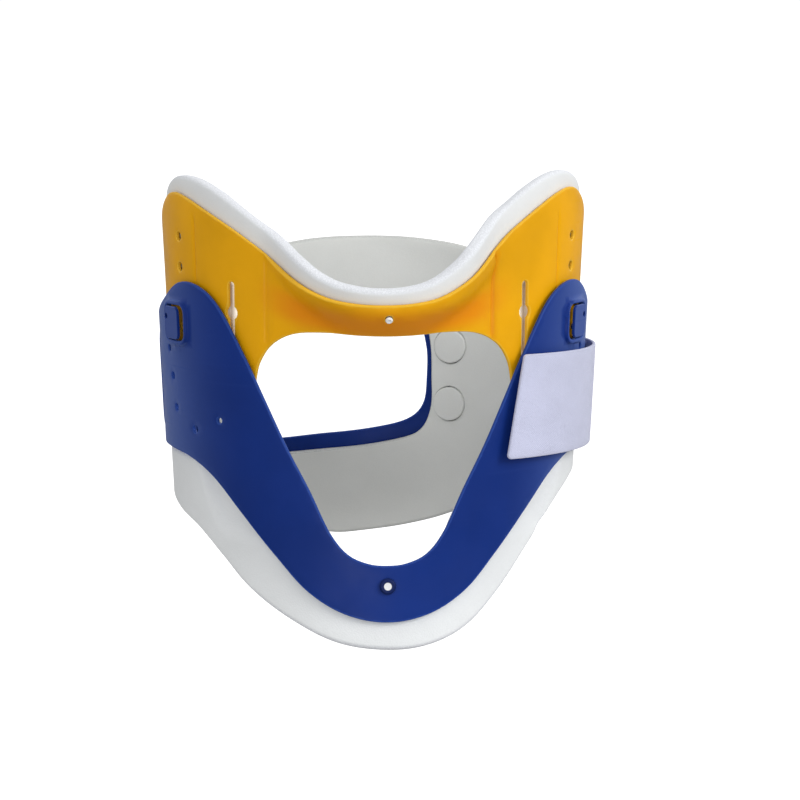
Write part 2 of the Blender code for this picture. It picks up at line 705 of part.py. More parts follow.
def guide_studs():
    """Studs welded inside the chest shell. Each foot holds the chin shell by its slot, with a washer."""
    for name, side in (("left", -1), ("right", 1)):
        place = frame_at(wing_u(side, GUIDE_U), GUIDE_Z)
        shoulder, shank, foot = 2.6, STUD_RADIUS, 2.0
        profile = (
            (0, -1.5), (foot - 0.4, -1.5), (foot, -1.2), (foot, -1.0), (shank, -1.0),
            (shank, CHIN_OUTER + 0.8), (shoulder, CHIN_OUTER + 0.8), (shoulder, CHEST_INNER - GAP),
            (0, CHEST_INNER - GAP),
        )
        turned(f"guide_stud_{name}", profile, place, BLUE)
        washer = ((shank + GAP, -0.8), (3.6, -0.8), (3.6, -0.2), (shank + GAP, -0.2))
        turned(f"guide_washer_{name}", washer, place, WHITE, ring=True)


def pad_rivet(name, z, head, shank, shell_outer, foam_inner, colour):
    """A snap rivet on the centre line: a stud outside the shell, and the cap inside the foam."""
    place = frame_at(0, z)
    face = shell_outer + GAP
    profile = (
        (0, foam_inner - 1.6), (shank - 0.3, foam_inner - 1.6), (shank, foam_inner - 1.2), (shank, face),
        (head, face), (head, face + 0.5), (head * 0.82, face + 1.0), (head * 0.55, face + 1.0),
        (head * 0.45, face + 0.7), (0, face + 0.7),
    )
    turned(name, profile, place, colour)
    low = foam_inner - GAP - 0.9
    cap = (
        (shank + GAP, low), (head + 0.6, low), (head + 1.3, low + 0.4), (head + 1.3, low + 0.9),
        (shank + GAP, low + 0.9),
    )
    turned(name + "_cap", cap, place, WHITE, ring=True)


def through_rivet(kind, end, place, inner_face, outer_face, head, washer):
    """A rivet through sheets, with its domed head outside and a washer under its spread inner end."""
    tip, spread = inner_face - 1.5, inner_face - 1.3
    profile = (
        (0, tip), (1.8, tip), (2.2, spread), (RIVET_SHANK, spread), (RIVET_SHANK, outer_face),
        (head, outer_face), (head - 0.2, outer_face + 0.6), (head * 0.63, outer_face + 1.1),
        (0, outer_face + 1.2),
    )
    turned(f"{kind}_rivet_{end}", profile, place, WHITE)
    bore, low = RIVET_SHANK + GAP, inner_face - 1.0
    ring = ((bore, low), (washer, low), (washer, inner_face), (bore, inner_face))
    turned(f"{kind}_washer_{end}", ring, place, WHITE, ring=True)


def side_rivets():
    """Rivets that join the rear tab to the chest shell's left wing."""
    for end, z in zip(RIVET_ENDS, SIDE_RIVET_Z):
        place = frame_at(SIDE_RIVET_U, z)
        through_rivet("side", end, place, CHEST_INNER - GAP, LAP_INNER + SHEET + GAP, 3.8, 3.4)


def strap_rivets():
    """Rivets that hold the strap's root on the rear shell, with a foam cover over each inner end."""
    for end, z in zip(RIVET_ENDS, STRAP_RIVET_Z):
        place = frame_at(HALF_GIRTH - STRAP_RIVET_S, z)
        inner_face = REAR_INNER - GAP
        through_rivet("strap", end, place, inner_face, ROOT_INNER + STRAP + GAP, 4.0, 4.2)
        top, bottom = inner_face - 1.8, -FOAM - 1.3
        side = COVER_RADIUS
        cover = ((0, bottom), (side - 1.4, bottom), (side, bottom + 0.9), (side, top), (0, top))
        turned(f"rivet_cover_{end}", cover, place, GREY_FOAM, roughness=0.9)


def carried(name, start, end, nodes, parent=None):
    """An empty half way along a joint's line, with its Z along that line, that carries the moving nodes."""
    carrier = bpy.data.objects.new(name, None)
    bpy.context.collection.objects.link(carrier)
    place = (end - start).to_track_quat("Z", "Y").to_matrix().to_4x4()
    place.translation = (start + end) / 2 * MM
    carrier.matrix_world = place
    for obj in [bpy.data.objects[node] for node in nodes]:
        obj.parent = carrier
        obj.matrix_parent_inverse = place.inverted()
    if parent:
        carrier.parent = parent
        carrier.matrix_parent_inverse = parent.matrix_world.inverted()
    return carrier


def carriers():
    """The chin slides up and down, the rear panel swings at its fold, and the strap at its root."""
    chin = ("chin_shell", "chin_foam", "chin_rivet", "chin_rivet_cap")
    carried("chin_slide", Vector((0, 0, SLOT_LOW)), Vector((0, 0, SLOT_HIGH)), chin)
    rear_pieces = ["rear_shell", "rear_foam", "strap_root"]
    for end in RIVET_ENDS:
        rear_pieces += [f"strap_rivet_{end}", f"strap_washer_{end}", f"rivet_cover_{end}"]
    line = [wrapped(HINGE_U, z, LAP_INNER + SHEET / 2) for z in (-FOLD_REACH, FOLD_REACH)]
    swing = carried("rear_fold", *line, rear_pieces)
    root_u = HALF_GIRTH - ROOT_END - ROOT_GAP / 2
    line = [wrapped(root_u, z, ROOT_INNER + STRAP / 2) for z in (-FOLD_REACH, FOLD_REACH)]
    carried("strap_fold", *line, ("closure_strap", "strap_hook_pad"), swing)


def main():
    clear_scene()
    chest_shell()
    chest_foam()
    chin_shell()
    chin_foam()
    rear_shell()
    rear_foam()
    rear_tab()
    closure_strap()
    size_locks()
    guide_studs()
    pad_rivet("chest_rivet", CHEST_RIVET_Z, 3.1, 1.2, CHEST_OUTER, -FOAM + BIB_RISE - GAP, DARK_BLUE)
    pad_rivet("chin_rivet", CHIN_RIVET_Z, 1.4, 0.75, CHIN_OUTER, -FOAM - 0.8, WHITE)
    side_rivets()
    strap_rivets()
    carriers()


main()
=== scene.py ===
"""Looks of the adjustable cervical collar.

Every sheet and pad is drawn flat, finely divided, and wrapped round the neck as its CAD solid is: a flat
point is (u, z), where u runs round the neck from the front centre, positive towards +X, and z is the
height. A depth counts outwards from the wrapped surface. Drawing sizes are millimetres.
"""

import json
import math

import bmesh
import bpy
import numpy as np
from mathutils import Matrix, Vector, noise
from mathutils.geometry import delaunay_2d_cdt

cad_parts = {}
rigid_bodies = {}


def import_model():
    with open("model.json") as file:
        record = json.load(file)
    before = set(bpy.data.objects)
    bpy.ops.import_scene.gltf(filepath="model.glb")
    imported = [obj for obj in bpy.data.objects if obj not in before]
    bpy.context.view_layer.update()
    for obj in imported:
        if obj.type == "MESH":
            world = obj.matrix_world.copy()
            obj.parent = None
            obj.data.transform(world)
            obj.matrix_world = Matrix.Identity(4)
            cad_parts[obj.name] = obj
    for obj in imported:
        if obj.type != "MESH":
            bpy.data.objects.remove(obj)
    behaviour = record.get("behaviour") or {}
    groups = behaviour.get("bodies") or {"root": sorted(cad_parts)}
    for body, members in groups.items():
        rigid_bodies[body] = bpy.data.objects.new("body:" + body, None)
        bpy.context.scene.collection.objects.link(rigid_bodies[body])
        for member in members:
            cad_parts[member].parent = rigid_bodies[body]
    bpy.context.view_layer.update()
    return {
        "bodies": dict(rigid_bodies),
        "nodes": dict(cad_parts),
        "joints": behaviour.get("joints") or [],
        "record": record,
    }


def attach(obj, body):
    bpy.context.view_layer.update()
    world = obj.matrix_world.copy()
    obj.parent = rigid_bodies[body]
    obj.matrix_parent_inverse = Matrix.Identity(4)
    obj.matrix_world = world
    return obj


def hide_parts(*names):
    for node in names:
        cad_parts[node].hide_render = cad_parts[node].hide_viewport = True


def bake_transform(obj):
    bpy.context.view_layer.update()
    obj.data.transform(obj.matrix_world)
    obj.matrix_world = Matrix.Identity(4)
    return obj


MM = 0.001

# The wrapped surface
HALF_WIDTH = 80.0
HALF_DEPTH = 74.0
SIDE_LEAN = 0.045
LEAN_STARTS, LEAN_FULL = 40.0, 100.0
SHELF_SLOPE, LIP_SLOPE = 1.15, 0.35
SHELF_BASE, SHELF_BASE_BEND, SHELF_TURN = 37.0, 0.0135, 10.0
LIP_BASE, LIP_BASE_BEND, LIP_TURN = 46.5, 0.0093, 6.0
SHELF_FULL, SHELF_ENDS = 26.0, 55.0
CHEST_FLARE = 0.0035
FLARE_BELOW = -38.0

# Layers, from the neck outwards
SHEET = 1.5
FOAM = 5.0
GAP = 0.3
SLIDE_GAP = 1.9
CHIN_INNER = GAP
CHIN_OUTER = CHIN_INNER + SHEET
PAD_FACE = -0.4
CHEST_INNER = CHIN_OUTER + SLIDE_GAP
CHEST_OUTER = CHEST_INNER + SHEET
LAP_INNER = CHEST_OUTER + GAP
PATCH_OUTER = LAP_INNER + 1.0
PAD_INNER = PATCH_OUTER + GAP
PAD_OUTER = PAD_INNER + 1.0
STRAP_INNER = PAD_OUTER + GAP
STRAP = 1.4
REAR_INNER = 1.3
REAR_OUTER = REAR_INNER + SHEET
ROOT_INNER = REAR_OUTER + GAP
LAP_RISE = LAP_INNER - REAR_INNER
BIB_RISE = CHEST_INNER - GAP

# The wings' details, which are set a little towards the wearer's right, and their small holes
WING_SHIFT = 2.2
WING_HOLES = (
    (96.3, 28.6, 1.3), (93.8, 17.8, 1.5), (91.8, 5.4, 1.5), (77.8, -1.6, 1.5), (63.8, 3.2, 1.1),
)

# Chin height: four settings, one hole apart
HOLE_PITCH = 12.0
HOLE_COUNT = 4
HOLE_RADIUS = 1.8
LOCK_U = 89.8
PEG_Z = 37.0
LOCK_WINDOW = (82.0, 96.0, 32.5, 46.5)
WINDOW_CORNER = 3.0
FRAME_WIDTH, FRAME_FOOT, FRAME_HEIGHT = 1.4, 0.7, 1.3
GUIDE_U, GUIDE_Z = 60.0, 14.0
SLOT_HALF_WIDTH = 1.3
SLOT_LOW, SLOT_HIGH = 11.4, 57.0
KEYHOLE_Z, KEYHOLE_RADIUS = 45.0, 2.7
STUD_RADIUS = 1.0

# Rear panel and strap
HINGE_U = -158.0
SIDE_RIVET_U = -141.0
SIDE_RIVET_Z = (-1.0, 25.0)
STRAP_RIVET_S = 41.5
STRAP_RIVET_Z = (-7.0, 18.0)
ROOT_END = 47.0
ROOT_GAP = 2.0
STRAP_LOW, STRAP_HIGH = -14.5, 25.5
STRAP_END_LOW, STRAP_END_HIGH = (198.0, -10.5), (190.5, 29.5)
COVER_RADIUS = 6.8
COVER_SPREAD, COVER_ROOM = 0.45, 0.7

# Rivets
RIVET_HOLE = 2.0
RIVET_SHANK = 1.4
CHEST_RIVET_Z, CHIN_RIVET_Z = -58.0, 46.5
CHIN_RIVET_HOLE = 1.1
RIVET_ENDS = ("lower", "upper")

# Thinned lines and raised strips in the chin shell, and the bead along its arched lip
FOLD_U = 44.4
FOLD_HALF_WIDTH = 1.3
STRIP_U, STRIP_END, STRIP_TOP = 79.0, 107.0, 83.0
STRIP_HEIGHT, BEAD_HEIGHT = 0.12, 0.6
BEAD_Z, BEAD_BEND = 48.6, 0.0094

# Rounded edges, the points of a small hole's rim and the spacing of a sheet's mesh
SHELL_EDGE, FOAM_EDGE, TAPE_EDGE = 0.45, 1.7, 0.35
RIM_STEPS = 24
MESH_STEP = 2.5

# The camera: degrees, metres, the lens and its sensor in millimetres, and a shift in sensor widths
CAMERA_AZIMUTH, CAMERA_ELEVATION, CAMERA_DISTANCE = -4, 8, 1.0
LENS, SENSOR_WIDTH = 109.76, 36
CAMERA_SHIFT = 0.03375, 0.01

# The studio, in metres and watts
WORLD_LIGHT = 0.78
KEY_PLACE, FILL_PLACE, BACK_PLACE = (1.0, -0.72, 0.62), (-0.25, -1.3, -0.12), (0.3, 0.9, 0.8)
KEY_POWER, FILL_POWER, BACK_POWER = 7.5, 3.0, 1.2
FLOOR_REACH, FLOOR_LEVEL = 12, -0.32

# Colours, in linear light
YELLOW = (0.80, 0.385, 0.004)
BLUE = (0.007, 0.030, 0.200)
DARK_BLUE = (0.006, 0.016, 0.09)
PALE_FOAM = (0.80, 0.82, 0.83)
GREY_FOAM = (0.74, 0.75, 0.72)
LILAC_WEB = (0.63, 0.65, 0.84)
WHITE = (0.85, 0.86, 0.88)

# Outlines, one half from the front centre line round the wing and back to the centre line
CHEST_HALF = (
    (0, -72), (15, -69), (29, -60.5), (42, -47), (56, -32), (70, -19.5), (84, -13.5), (100, -12),
    (126, -12), (143, -11), (150.5, -4), (151.5, 13), (149.5, 31), (141, 36), (122, 40), (104, 47.5),
    (88, 55.5), (76, 54.5), (66, 47), (55, 30), (46, 13), (37, -5), (28.5, -21), (21, -37),
    (14.5, -45.5), (7, -49.2), (0, -50),
)
CHIN_HALF = (
    (0, 51), (10, 51.6), (20, 54), (32, 60.5), (45, 69.5), (57, 77.5), (70, 85), (82, 90.5),
    (92, 92), (103, 87.5), (116, 79), (128, 67), (135, 52), (136, 38), (130, 28), (118, 26),
    (96, 25.5), (84, 23), (74, 16), (67, 8.5), (60.5, 6), (55, 7.5), (52.5, 13), (51.5, 20),
    (49.5, 27), (44, 34), (34, 38.4), (18, 39), (0, 39),
)
CHIN_FOAM_HALF = (
    (0, 55.5), (10, 56.5), (19, 59.5), (30, 67), (42, 76.5), (54, 85), (66, 92.5), (79, 97.5), (93, 98),
    (109, 92), (124, 81), (134, 66), (138.5, 50), (137.5, 37), (129, 30), (112, 29), (90, 29),
    (74, 27), (62, 25), (55.5, 26.5), (51, 32), (43, 38.5), (32, 41.5), (16, 41.8), (0, 41.8),
)
CHIN_SKEW, CHIN_DROP = 5.0, 2.0
CHEST_FOAM = (
    (0, -82), (15, -80.5), (29, -74.5), (43, -63), (59, -48), (78, -33), (98, -25.5), (120, -24),
    (137, -23), (142, -18), (139, -14), (120, -13.4), (90, -13.4), (60, -13.4), (46, -14.5),
    (36, -17.5), (30.5, -26), (23, -39.5), (15.5, -48.5), (7.5, -52.3), (0, -53), (-7.5, -52.3),
    (-15.5, -48.5), (-23, -39.5), (-30.5, -26), (-36, -17.5), (-46, -14.5), (-60, -13.4),
    (-90, -13.4), (-120, -13.4), (-139, -14), (-143, -20), (-141, -29), (-130, -33), (-115, -35),
    (-100, -38), (-84, -42), (-68, -51), (-54, -61), (-36, -71.5), (-18, -79.5),
)
# Rear outlines, from the bottom centre round the right end and the left end
REAR_SHELL = (
    (0, -55), (20, -52), (42, -46), (62, -35), (78, -25), (90, -16.5), (100, -9), (102, 9),
    (100, 28), (91, 34), (76, 41), (56, 50), (34, 55), (0, 57), (-34, 54.5), (-58, 48), (-76, 39),
    (-84, 31), (-84.5, 8), (-84, -15), (-77, -27), (-60, -41), (-38, -51), (-18, -54.5),
)
REAR_FOAM = (
    (0, -64), (21, -61), (42, -55), (61, -45), (77, -31), (85.5, -12), (86.5, 12), (83.5, 33),
    (71, 49), (51, 60), (26, 64.5), (0, 65.5), (-26, 64), (-50, 58.5), (-68, 47), (-77.5, 31),
    (-79.5, 9), (-78, -14), (-71, -34), (-55, -50), (-34, -60), (-15, -64.3),
)
REAR_SHELL_WINDOW = (
    (-45, -21.5), (-15, -21), (5, -19), (20, -15), (27, -8), (28.5, 4), (28, 18), (23, 30.5),
    (8, 36), (-22, 37), (-50, 34), (-60, 25), (-62.5, 6), (-59, -13),
)
REAR_FOAM_WINDOW = (
    (-46, -27.5), (-12, -27.5), (10, -25), (26, -20), (32, -10), (32.5, 4), (31.5, 20), (26.5, 34.5),
    (10, 40.5), (-22, 41.5), (-52, 38.5), (-64.5, 27), (-67.5, 6), (-64, -18),
)


def smooth_step(x):
    x = min(1.0, max(0.0, x))
    return x * x * (3 - 2 * x)


def step_sum(x):
    """The area under smooth_step from 0 to x."""
    if x <= 0:
        return 0.0
    return x**3 - x**4 / 2 if x < 1 else x - 0.5


def bend_out(z, base, turn):
    """How far a line has gone sideways at z, at slope 1 above base, with its corner eased over turn."""
    return turn * step_sum((z - base) / turn + 0.5)


def plan_table(steps=4000):
    """Arc lengths along the neck's plan ellipse against the ellipse's own angle, from the front."""
    turn = np.linspace(0, 2 * np.pi, steps + 1)
    x = HALF_WIDTH * np.sin(turn)
    y = -HALF_DEPTH * np.cos(turn)
    length = np.concatenate([[0], np.cumsum(np.hypot(np.diff(x), np.diff(y)))])
    return length, turn


PLAN_LENGTH, PLAN_TURN = plan_table()
GIRTH = float(PLAN_LENGTH[-1])
HALF_GIRTH = GIRTH / 2


def wall_point(u, z):
    """The wrapped surface at depth 0: an oval wall, leaning out at the sides. At the top of the front it
    folds out along an arched line into a shelf for the chin, and at the bottom it flares over the chest."""
    turn = np.interp(u % GIRTH, PLAN_LENGTH, PLAN_TURN)
    sine, cosine = math.sin(turn), math.cos(turn)
    normal = Vector((HALF_DEPTH * sine, -HALF_WIDTH * cosine, 0)).normalized()
    across = abs((u + HALF_GIRTH) % GIRTH - HALF_GIRTH)
    lean = SIDE_LEAN * z * smooth_step((across - LEAN_STARTS) / (LEAN_FULL - LEAN_STARTS))
    shelf_share = smooth_step((SHELF_ENDS - across) / (SHELF_ENDS - SHELF_FULL))
    shelf = SHELF_SLOPE * bend_out(z, SHELF_BASE + SHELF_BASE_BEND * across**2, SHELF_TURN)
    lip = (SHELF_SLOPE - LIP_SLOPE) * bend_out(z, LIP_BASE + LIP_BASE_BEND * across**2, LIP_TURN)
    flare = CHEST_FLARE * max(0.0, FLARE_BELOW - z) ** 2 * smooth_step((100 - across) / 50)
    out = lean + (shelf - lip) * shelf_share + flare
    return Vector((HALF_WIDTH * sine, -HALF_DEPTH * cosine, z)) + normal * out


def wall_normal(u, z, step=0.05):
    along = wall_point(u + step, z) - wall_point(u - step, z)
    upward = wall_point(u, z + step) - wall_point(u, z - step)
    return along.cross(upward).normalized()


def wrapped(u, z, d):
    return wall_point(u, z) + wall_normal(u, z) * d


def rear_rise(u, z):
    """The rear panel steps outwards near its ends, to pass over the chest piece's wings."""
    s = rear(u)
    return LAP_RISE * max(smooth_step((s - 58) / 32), smooth_step((-54 - s) / 28))


def strap_rise(u, z):
    """The strap steps out with the rear panel, and then over the hook and loop tapes."""
    return (STRAP_INNER - ROOT_INNER) * smooth_step((rear(u) - 58) / 32)


def bib_rise(u, z):
    """The chest foam comes up to the chest shell below the space that the chin piece slides in."""
    across = abs(u)
    top = -34 + 30 * smooth_step((across - 66) / 22)
    return (BIB_RISE - GAP) * smooth_step((top - z) / 9)


def wing_u(side, reach):
    return side * reach - WING_SHIFT


def rear(u):
    """The rear coordinate s of a point at u, and the other way round."""
    return HALF_GIRTH - u % GIRTH


def mirrored(half):
    return list(half) + [(-u, z) for u, z in half[-2:0:-1]]


def skewed(outline):
    """The tops of the chin piece's wings are turned a little towards the wearer's right, where the wing
    is also a little lower."""
    for point in outline:
        lowered = smooth_step((-point.x - 40) / 50) * smooth_step((point.y - 50) / 40)
        point.x -= CHIN_SKEW * smooth_step((point.y - 30) / 60)
        point.y -= CHIN_DROP * lowered
    return outline


def arc(centre, radius, start, end, steps):
    """Points round an arc, with angles in degrees."""
    turns = [math.radians(start + (end - start) * i / steps) for i in range(steps + 1)]
    return [Vector((centre[0] + radius * math.cos(a), centre[1] + radius * math.sin(a))) for a in turns]


def circle(u, z, radius, steps=RIM_STEPS):
    return arc((u, z), radius, 0, 360, steps)[:-1]


def rounded(corners, radius, steps=4):
    """A polygon, drawn anticlockwise, with its corners rounded."""
    outline = []
    count = len(corners)
    for i in range(count):
        before, here, after = (Vector(corners[(i + k) % count]) for k in (-1, 0, 1))
        back, ahead = (before - here).normalized(), (after - here).normalized()
        half = back.angle(ahead) / 2
        start = here + back * radius / math.tan(half)
        end = here + ahead * radius / math.tan(half)
        middle = here + (back + ahead).normalized() * radius / math.sin(half)
        first, last = start - middle, end - middle
        outline += [middle + first.slerp(last, k / steps) * radius for k in range(steps + 1)]
    return outline


def keyhole_slot(u):
    """The guide slot: long and narrow, with one round widening that lets a stud's foot through."""
    spread = math.degrees(math.asin(SLOT_HALF_WIDTH / KEYHOLE_RADIUS))
    low = (u, SLOT_LOW + SLOT_HALF_WIDTH)
    high = (u, SLOT_HIGH - SLOT_HALF_WIDTH)
    middle = (u, KEYHOLE_Z)
    return (
        arc(low, SLOT_HALF_WIDTH, 180, 360, 6)
        + arc(middle, KEYHOLE_RADIUS, spread - 90, 90 - spread, 5)
        + arc(high, SLOT_HALF_WIDTH, 0, 180, 6)
        + arc(middle, KEYHOLE_RADIUS, 90 + spread, 270 - spread, 5)
    )


def box_outline(low_u, high_u, low_z, high_z, radius):
    corners = ((low_u, low_z), (high_u, low_z), (high_u, high_z), (low_u, high_z))
    return rounded(corners, radius)


def lock_window(side, spread=0.0):
    low_u, high_u, low_z, high_z = LOCK_WINDOW
    ends = sorted((wing_u(side, low_u - spread), wing_u(side, high_u + spread)))
    return box_outline(ends[0], ends[1], low_z - spread, high_z + spread, WINDOW_CORNER + spread)


def window_distance(u, z):
    """How far a flat point is outside the nearer lock window."""
    low_u, high_u, low_z, high_z = LOCK_WINDOW
    across = abs(abs(u + WING_SHIFT) - (low_u + high_u) / 2) - (high_u - low_u) / 2 + WINDOW_CORNER
    upward = abs(z - (low_z + high_z) / 2) - (high_z - low_z) / 2 + WINDOW_CORNER
    return math.hypot(max(across, 0), max(upward, 0)) - WINDOW_CORNER


def push_loop(loop, distance):
    """Moves each point of a closed loop to its right-hand side, which is away from a solid on its left."""
    moved = []
    count = len(loop)
    for i in range(count):
        before, here, after = loop[i - 1], loop[i], loop[(i + 1) % count]
        first, last = (here - before).normalized(), (after - here).normalized()
        side = Vector((first.y + last.y, -first.x - last.x)).normalized()
        stretch = max(0.6, side.dot(Vector((first.y, -first.x))))
        moved.append(here + side * distance / stretch)
    return moved


def signed_area(loop):
    return sum(loop[i - 1].cross(loop[i]) for i in range(len(loop))) / 2


def turned_left(loop, solid_inside):
    loop = [Vector(point) for point in loop]
    return loop if (signed_area(loop) > 0) == solid_inside else loop[::-1]


def rim_loops(triangles):
    """The directed edges that only one triangle has, joined into loops."""
    edges = {(t[i], t[(i + 1) % 3]) for t in triangles for i in range(3)}
    following = {a: b for a, b in edges if (b, a) not in edges}
    loops = []
    while following:
        start, here = following.popitem()
        loop = [start]
        while here != start:
            loop.append(here)
            here = following.pop(here)
        loops.append(loop)
    return loops


def frame_at(u, z, rise=0.0):
    """A frame on the wall at depth rise: local Z points outwards, and local X runs round the neck."""
    outward = wall_normal(u, z)
    upward = Vector((0, 0, 1))
    along = upward.cross(outward).normalized()
    frame = Matrix((along, outward.cross(along), outward)).transposed().to_4x4()
    frame.translation = wrapped(u, z, rise)
    return frame


def spline(points, spacing=2.0):
    """A closed smooth curve through the points (Catmull-Rom)."""
    count = len(points)
    curve = []
    for i in range(count):
        a, b, c, d = (Vector(points[(i + k) % count]) for k in (-1, 0, 1, 2))
        pieces = max(1, round((c - b).length / spacing))
        for k in range(pieces):
            t = k / pieces
            bend = 2 * b + (c - a) * t + (2 * a - 5 * b + 4 * c - d) * t**2
            curve.append((bend + (3 * b - a - 3 * c + d) * t**3) / 2)
    return curve


def at_back(outline):
    """A rear outline, drawn in s, as an outline in u."""
    return [Vector((HALF_GIRTH - point[0], point[1])) for point in outline]


def finely(loop, spacing=2.0):
    """The same loop with its long sides divided."""
    fine = []
    for before, here in zip([loop[-1]] + loop[:-1], loop):
        pieces = max(1, round((here - before).length / spacing))
        fine += [before.lerp(here, (k + 1) / pieces) for k in range(pieces)]
    return fine


def sides_of(loops):
    """The starts and the ends of every side of the loops."""
    starts = np.concatenate([[tuple(point) for point in loop] for loop in loops])
    ends = np.concatenate([[tuple(point) for point in loop[1:] + loop[:1]] for loop in loops])
    return starts, ends


def rim_distance(points, loops):
    """How far each flat point is from the nearest side of any loop."""
    starts, ends = sides_of(loops)
    along = ends - starts
    offset = points[:, None] - starts
    share = np.clip((offset * along).sum(2) / (along**2).sum(1), 0, 1)
    return np.linalg.norm(offset - share[..., None] * along, axis=2).min(1)


def in_solid(points, loops):
    """Whether each flat point is inside the outline and outside the holes."""
    starts, ends = sides_of(loops)
    x, y = points[:, :1], points[:, 1:]
    straddles = (starts[:, 1] > y) != (ends[:, 1] > y)
    rise = np.where(straddles, ends[:, 1] - starts[:, 1], 1)
    crossing = starts[:, 0] + (ends[:, 0] - starts[:, 0]) * (y - starts[:, 1]) / rise
    return (straddles & (x < crossing)).sum(1) % 2 == 1


def columns(low, high, closer):
    """Places from low to high at the mesh's spacing, and more of them about each place in closer."""
    special = [place + offset for place in closer for offset in (-1.3, -0.7, 0.0, 0.7, 1.3)]
    even = np.arange(math.ceil(low / MESH_STEP), high / MESH_STEP) * MESH_STEP
    kept = [place for place in even if all(abs(place - other) > 0.6 * MESH_STEP for other in special)]
    return sorted(kept + [place for place in special if low < place < high])


def finely_divided(loops, closer, marks):
    """Triangles of a flat shape: (points, triangles, distance of each point from the rim)."""
    outline = loops[0]
    across = columns(min(p.x for p in outline), max(p.x for p in outline), closer)
    upward = columns(min(p.y for p in outline), max(p.y for p in outline), ())
    grid = np.array([(x, y) for x in across for y in upward])
    grid = grid[in_solid(grid, loops)]
    grid = grid[rim_distance(grid, loops) > 0.5 * MESH_STEP]
    if marks:
        added = np.array([tuple(mark) for mark in marks])
        apart = np.linalg.norm(grid[:, None] - added, axis=2).min(1) > 0.3 * MESH_STEP
        grid = np.concatenate([grid[apart], added])
    points, edges = [], []
    for loop in loops:
        start = len(points)
        points += loop
        edges += [(start + i, start + (i + 1) % len(loop)) for i in range(len(loop))]
    points += [Vector(place) for place in grid]
    corners, _, faces = delaunay_2d_cdt(points, edges, [], 0, 1e-5)[:3]
    flat = np.array([tuple(corner) for corner in corners])
    middles = flat[np.array(faces)].mean(1)
    triangles = [tuple(face) for face, kept in zip(faces, in_solid(middles, loops)) if kept]
    return corners, triangles, rim_distance(flat, loops)


def wrapped_solid(name, outline, holes, inner, outer, edge, rise=None, front=None, back=None, closer=(),
                  marks=(), turns=3, painted_light=None):
    """A wrapped sheet or pad with rounded edges. front and back are small reliefs of its two faces, in
    millimetres outwards. Each point keeps its flat place, its distance from the rim and the outer face's
    amount of painted light (painted shade or a painted glow)."""
    hole_edge = min(edge, 0.6)
    loops = [push_loop(turned_left(outline, True), -edge)]
    loops += [push_loop(turned_left(hole, False), -hole_edge) for hole in holes]
    corners, triangles, distance = finely_divided(loops, closer, marks)
    bm = bmesh.new()
    flat = bm.verts.layers.float_vector.new("flat")
    rim = bm.verts.layers.float.new("rim")
    painted_light_layer = bm.verts.layers.float.new("painted_light")

    def vertex(point, depth, from_rim):
        u, z = point
        share = (depth - inner) / (outer - inner)
        lift = rise(u, z) if rise else 0.0
        lift += front(u, z) * share if front else 0.0
        lift += back(u, z) * (1 - share) if back else 0.0
        made = bm.verts.new(wrapped(u, z, depth + lift))
        made[flat] = (u, z, depth)
        made[rim] = from_rim
        # How much painted light the material puts at this point: painted shade or a painted glow.
        made[painted_light_layer] = painted_light(u, z) * share if painted_light else 0.0
        return made

    used = sorted({i for t in triangles for i in t})
    outside = {i: vertex(corners[i], outer, distance[i] + edge) for i in used}
    inside_face = {i: vertex(corners[i], inner, distance[i] + edge) for i in used}
    for a, b, c in triangles:
        bm.faces.new((outside[a], outside[b], outside[c]))
        bm.faces.new((inside_face[c], inside_face[b], inside_face[a]))
    bends = [math.pi / 2 * (k + 1) / turns for k in range(turns)]
    for loop in rim_loops(triangles):
        base = [corners[i] for i in loop]
        size = edge if signed_area(base) > 0 else hole_edge
        levels = [(size * math.sin(a), outer - size * (1 - math.cos(a))) for a in bends]
        levels += [(size * math.sin(a), inner + size * (1 - math.cos(a))) for a in bends[::-1]]
        rings = [[outside[i] for i in loop]]
        for reach, depth in levels:
            rings.append([vertex(point, depth, size - reach) for point in push_loop(base, reach)])
        rings.append([inside_face[i] for i in loop])
        for upper, lower in zip(rings, rings[1:]):
            for i in range(len(loop)):
                bm.faces.new((upper[i - 1], lower[i - 1], lower[i], upper[i]))
    return finished(name, bm)


def finished(name, bm, place=Matrix.Identity(4)):
    """An object from a closed bmesh in millimetres."""
    bmesh.ops.transform(bm, matrix=Matrix.Scale(MM, 4) @ place, verts=bm.verts)
    bmesh.ops.recalc_face_normals(bm, faces=bm.faces)
    mesh = bpy.data.meshes.new(name)
    bm.to_mesh(mesh)
    bm.free()
    mesh.shade_smooth()
    mesh.set_sharp_from_angle(angle=math.radians(50))
    obj = bpy.data.objects.new(name, mesh)
    bpy.context.collection.objects.link(obj)
    return obj


def softened(profile, closed, radius=0.25, steps=3):
    """The corners of a profile rounded with short curves."""
    count = len(profile)
    soft = []
    for i, here in enumerate(profile):
        here = Vector(here)
        if not closed and i in (0, count - 1):
            soft.append(here)
            continue
        before, after = Vector(profile[i - 1]), Vector(profile[(i + 1) % count])
        start = here + (before - here).normalized() * min(radius, (before - here).length * 0.4)
        end = here + (after - here).normalized() * min(radius, (after - here).length * 0.4)
        for k in range(steps + 1):
            t = k / steps
            soft.append(start * (1 - t) ** 2 + here * 2 * t * (1 - t) + end * t**2)
    return soft


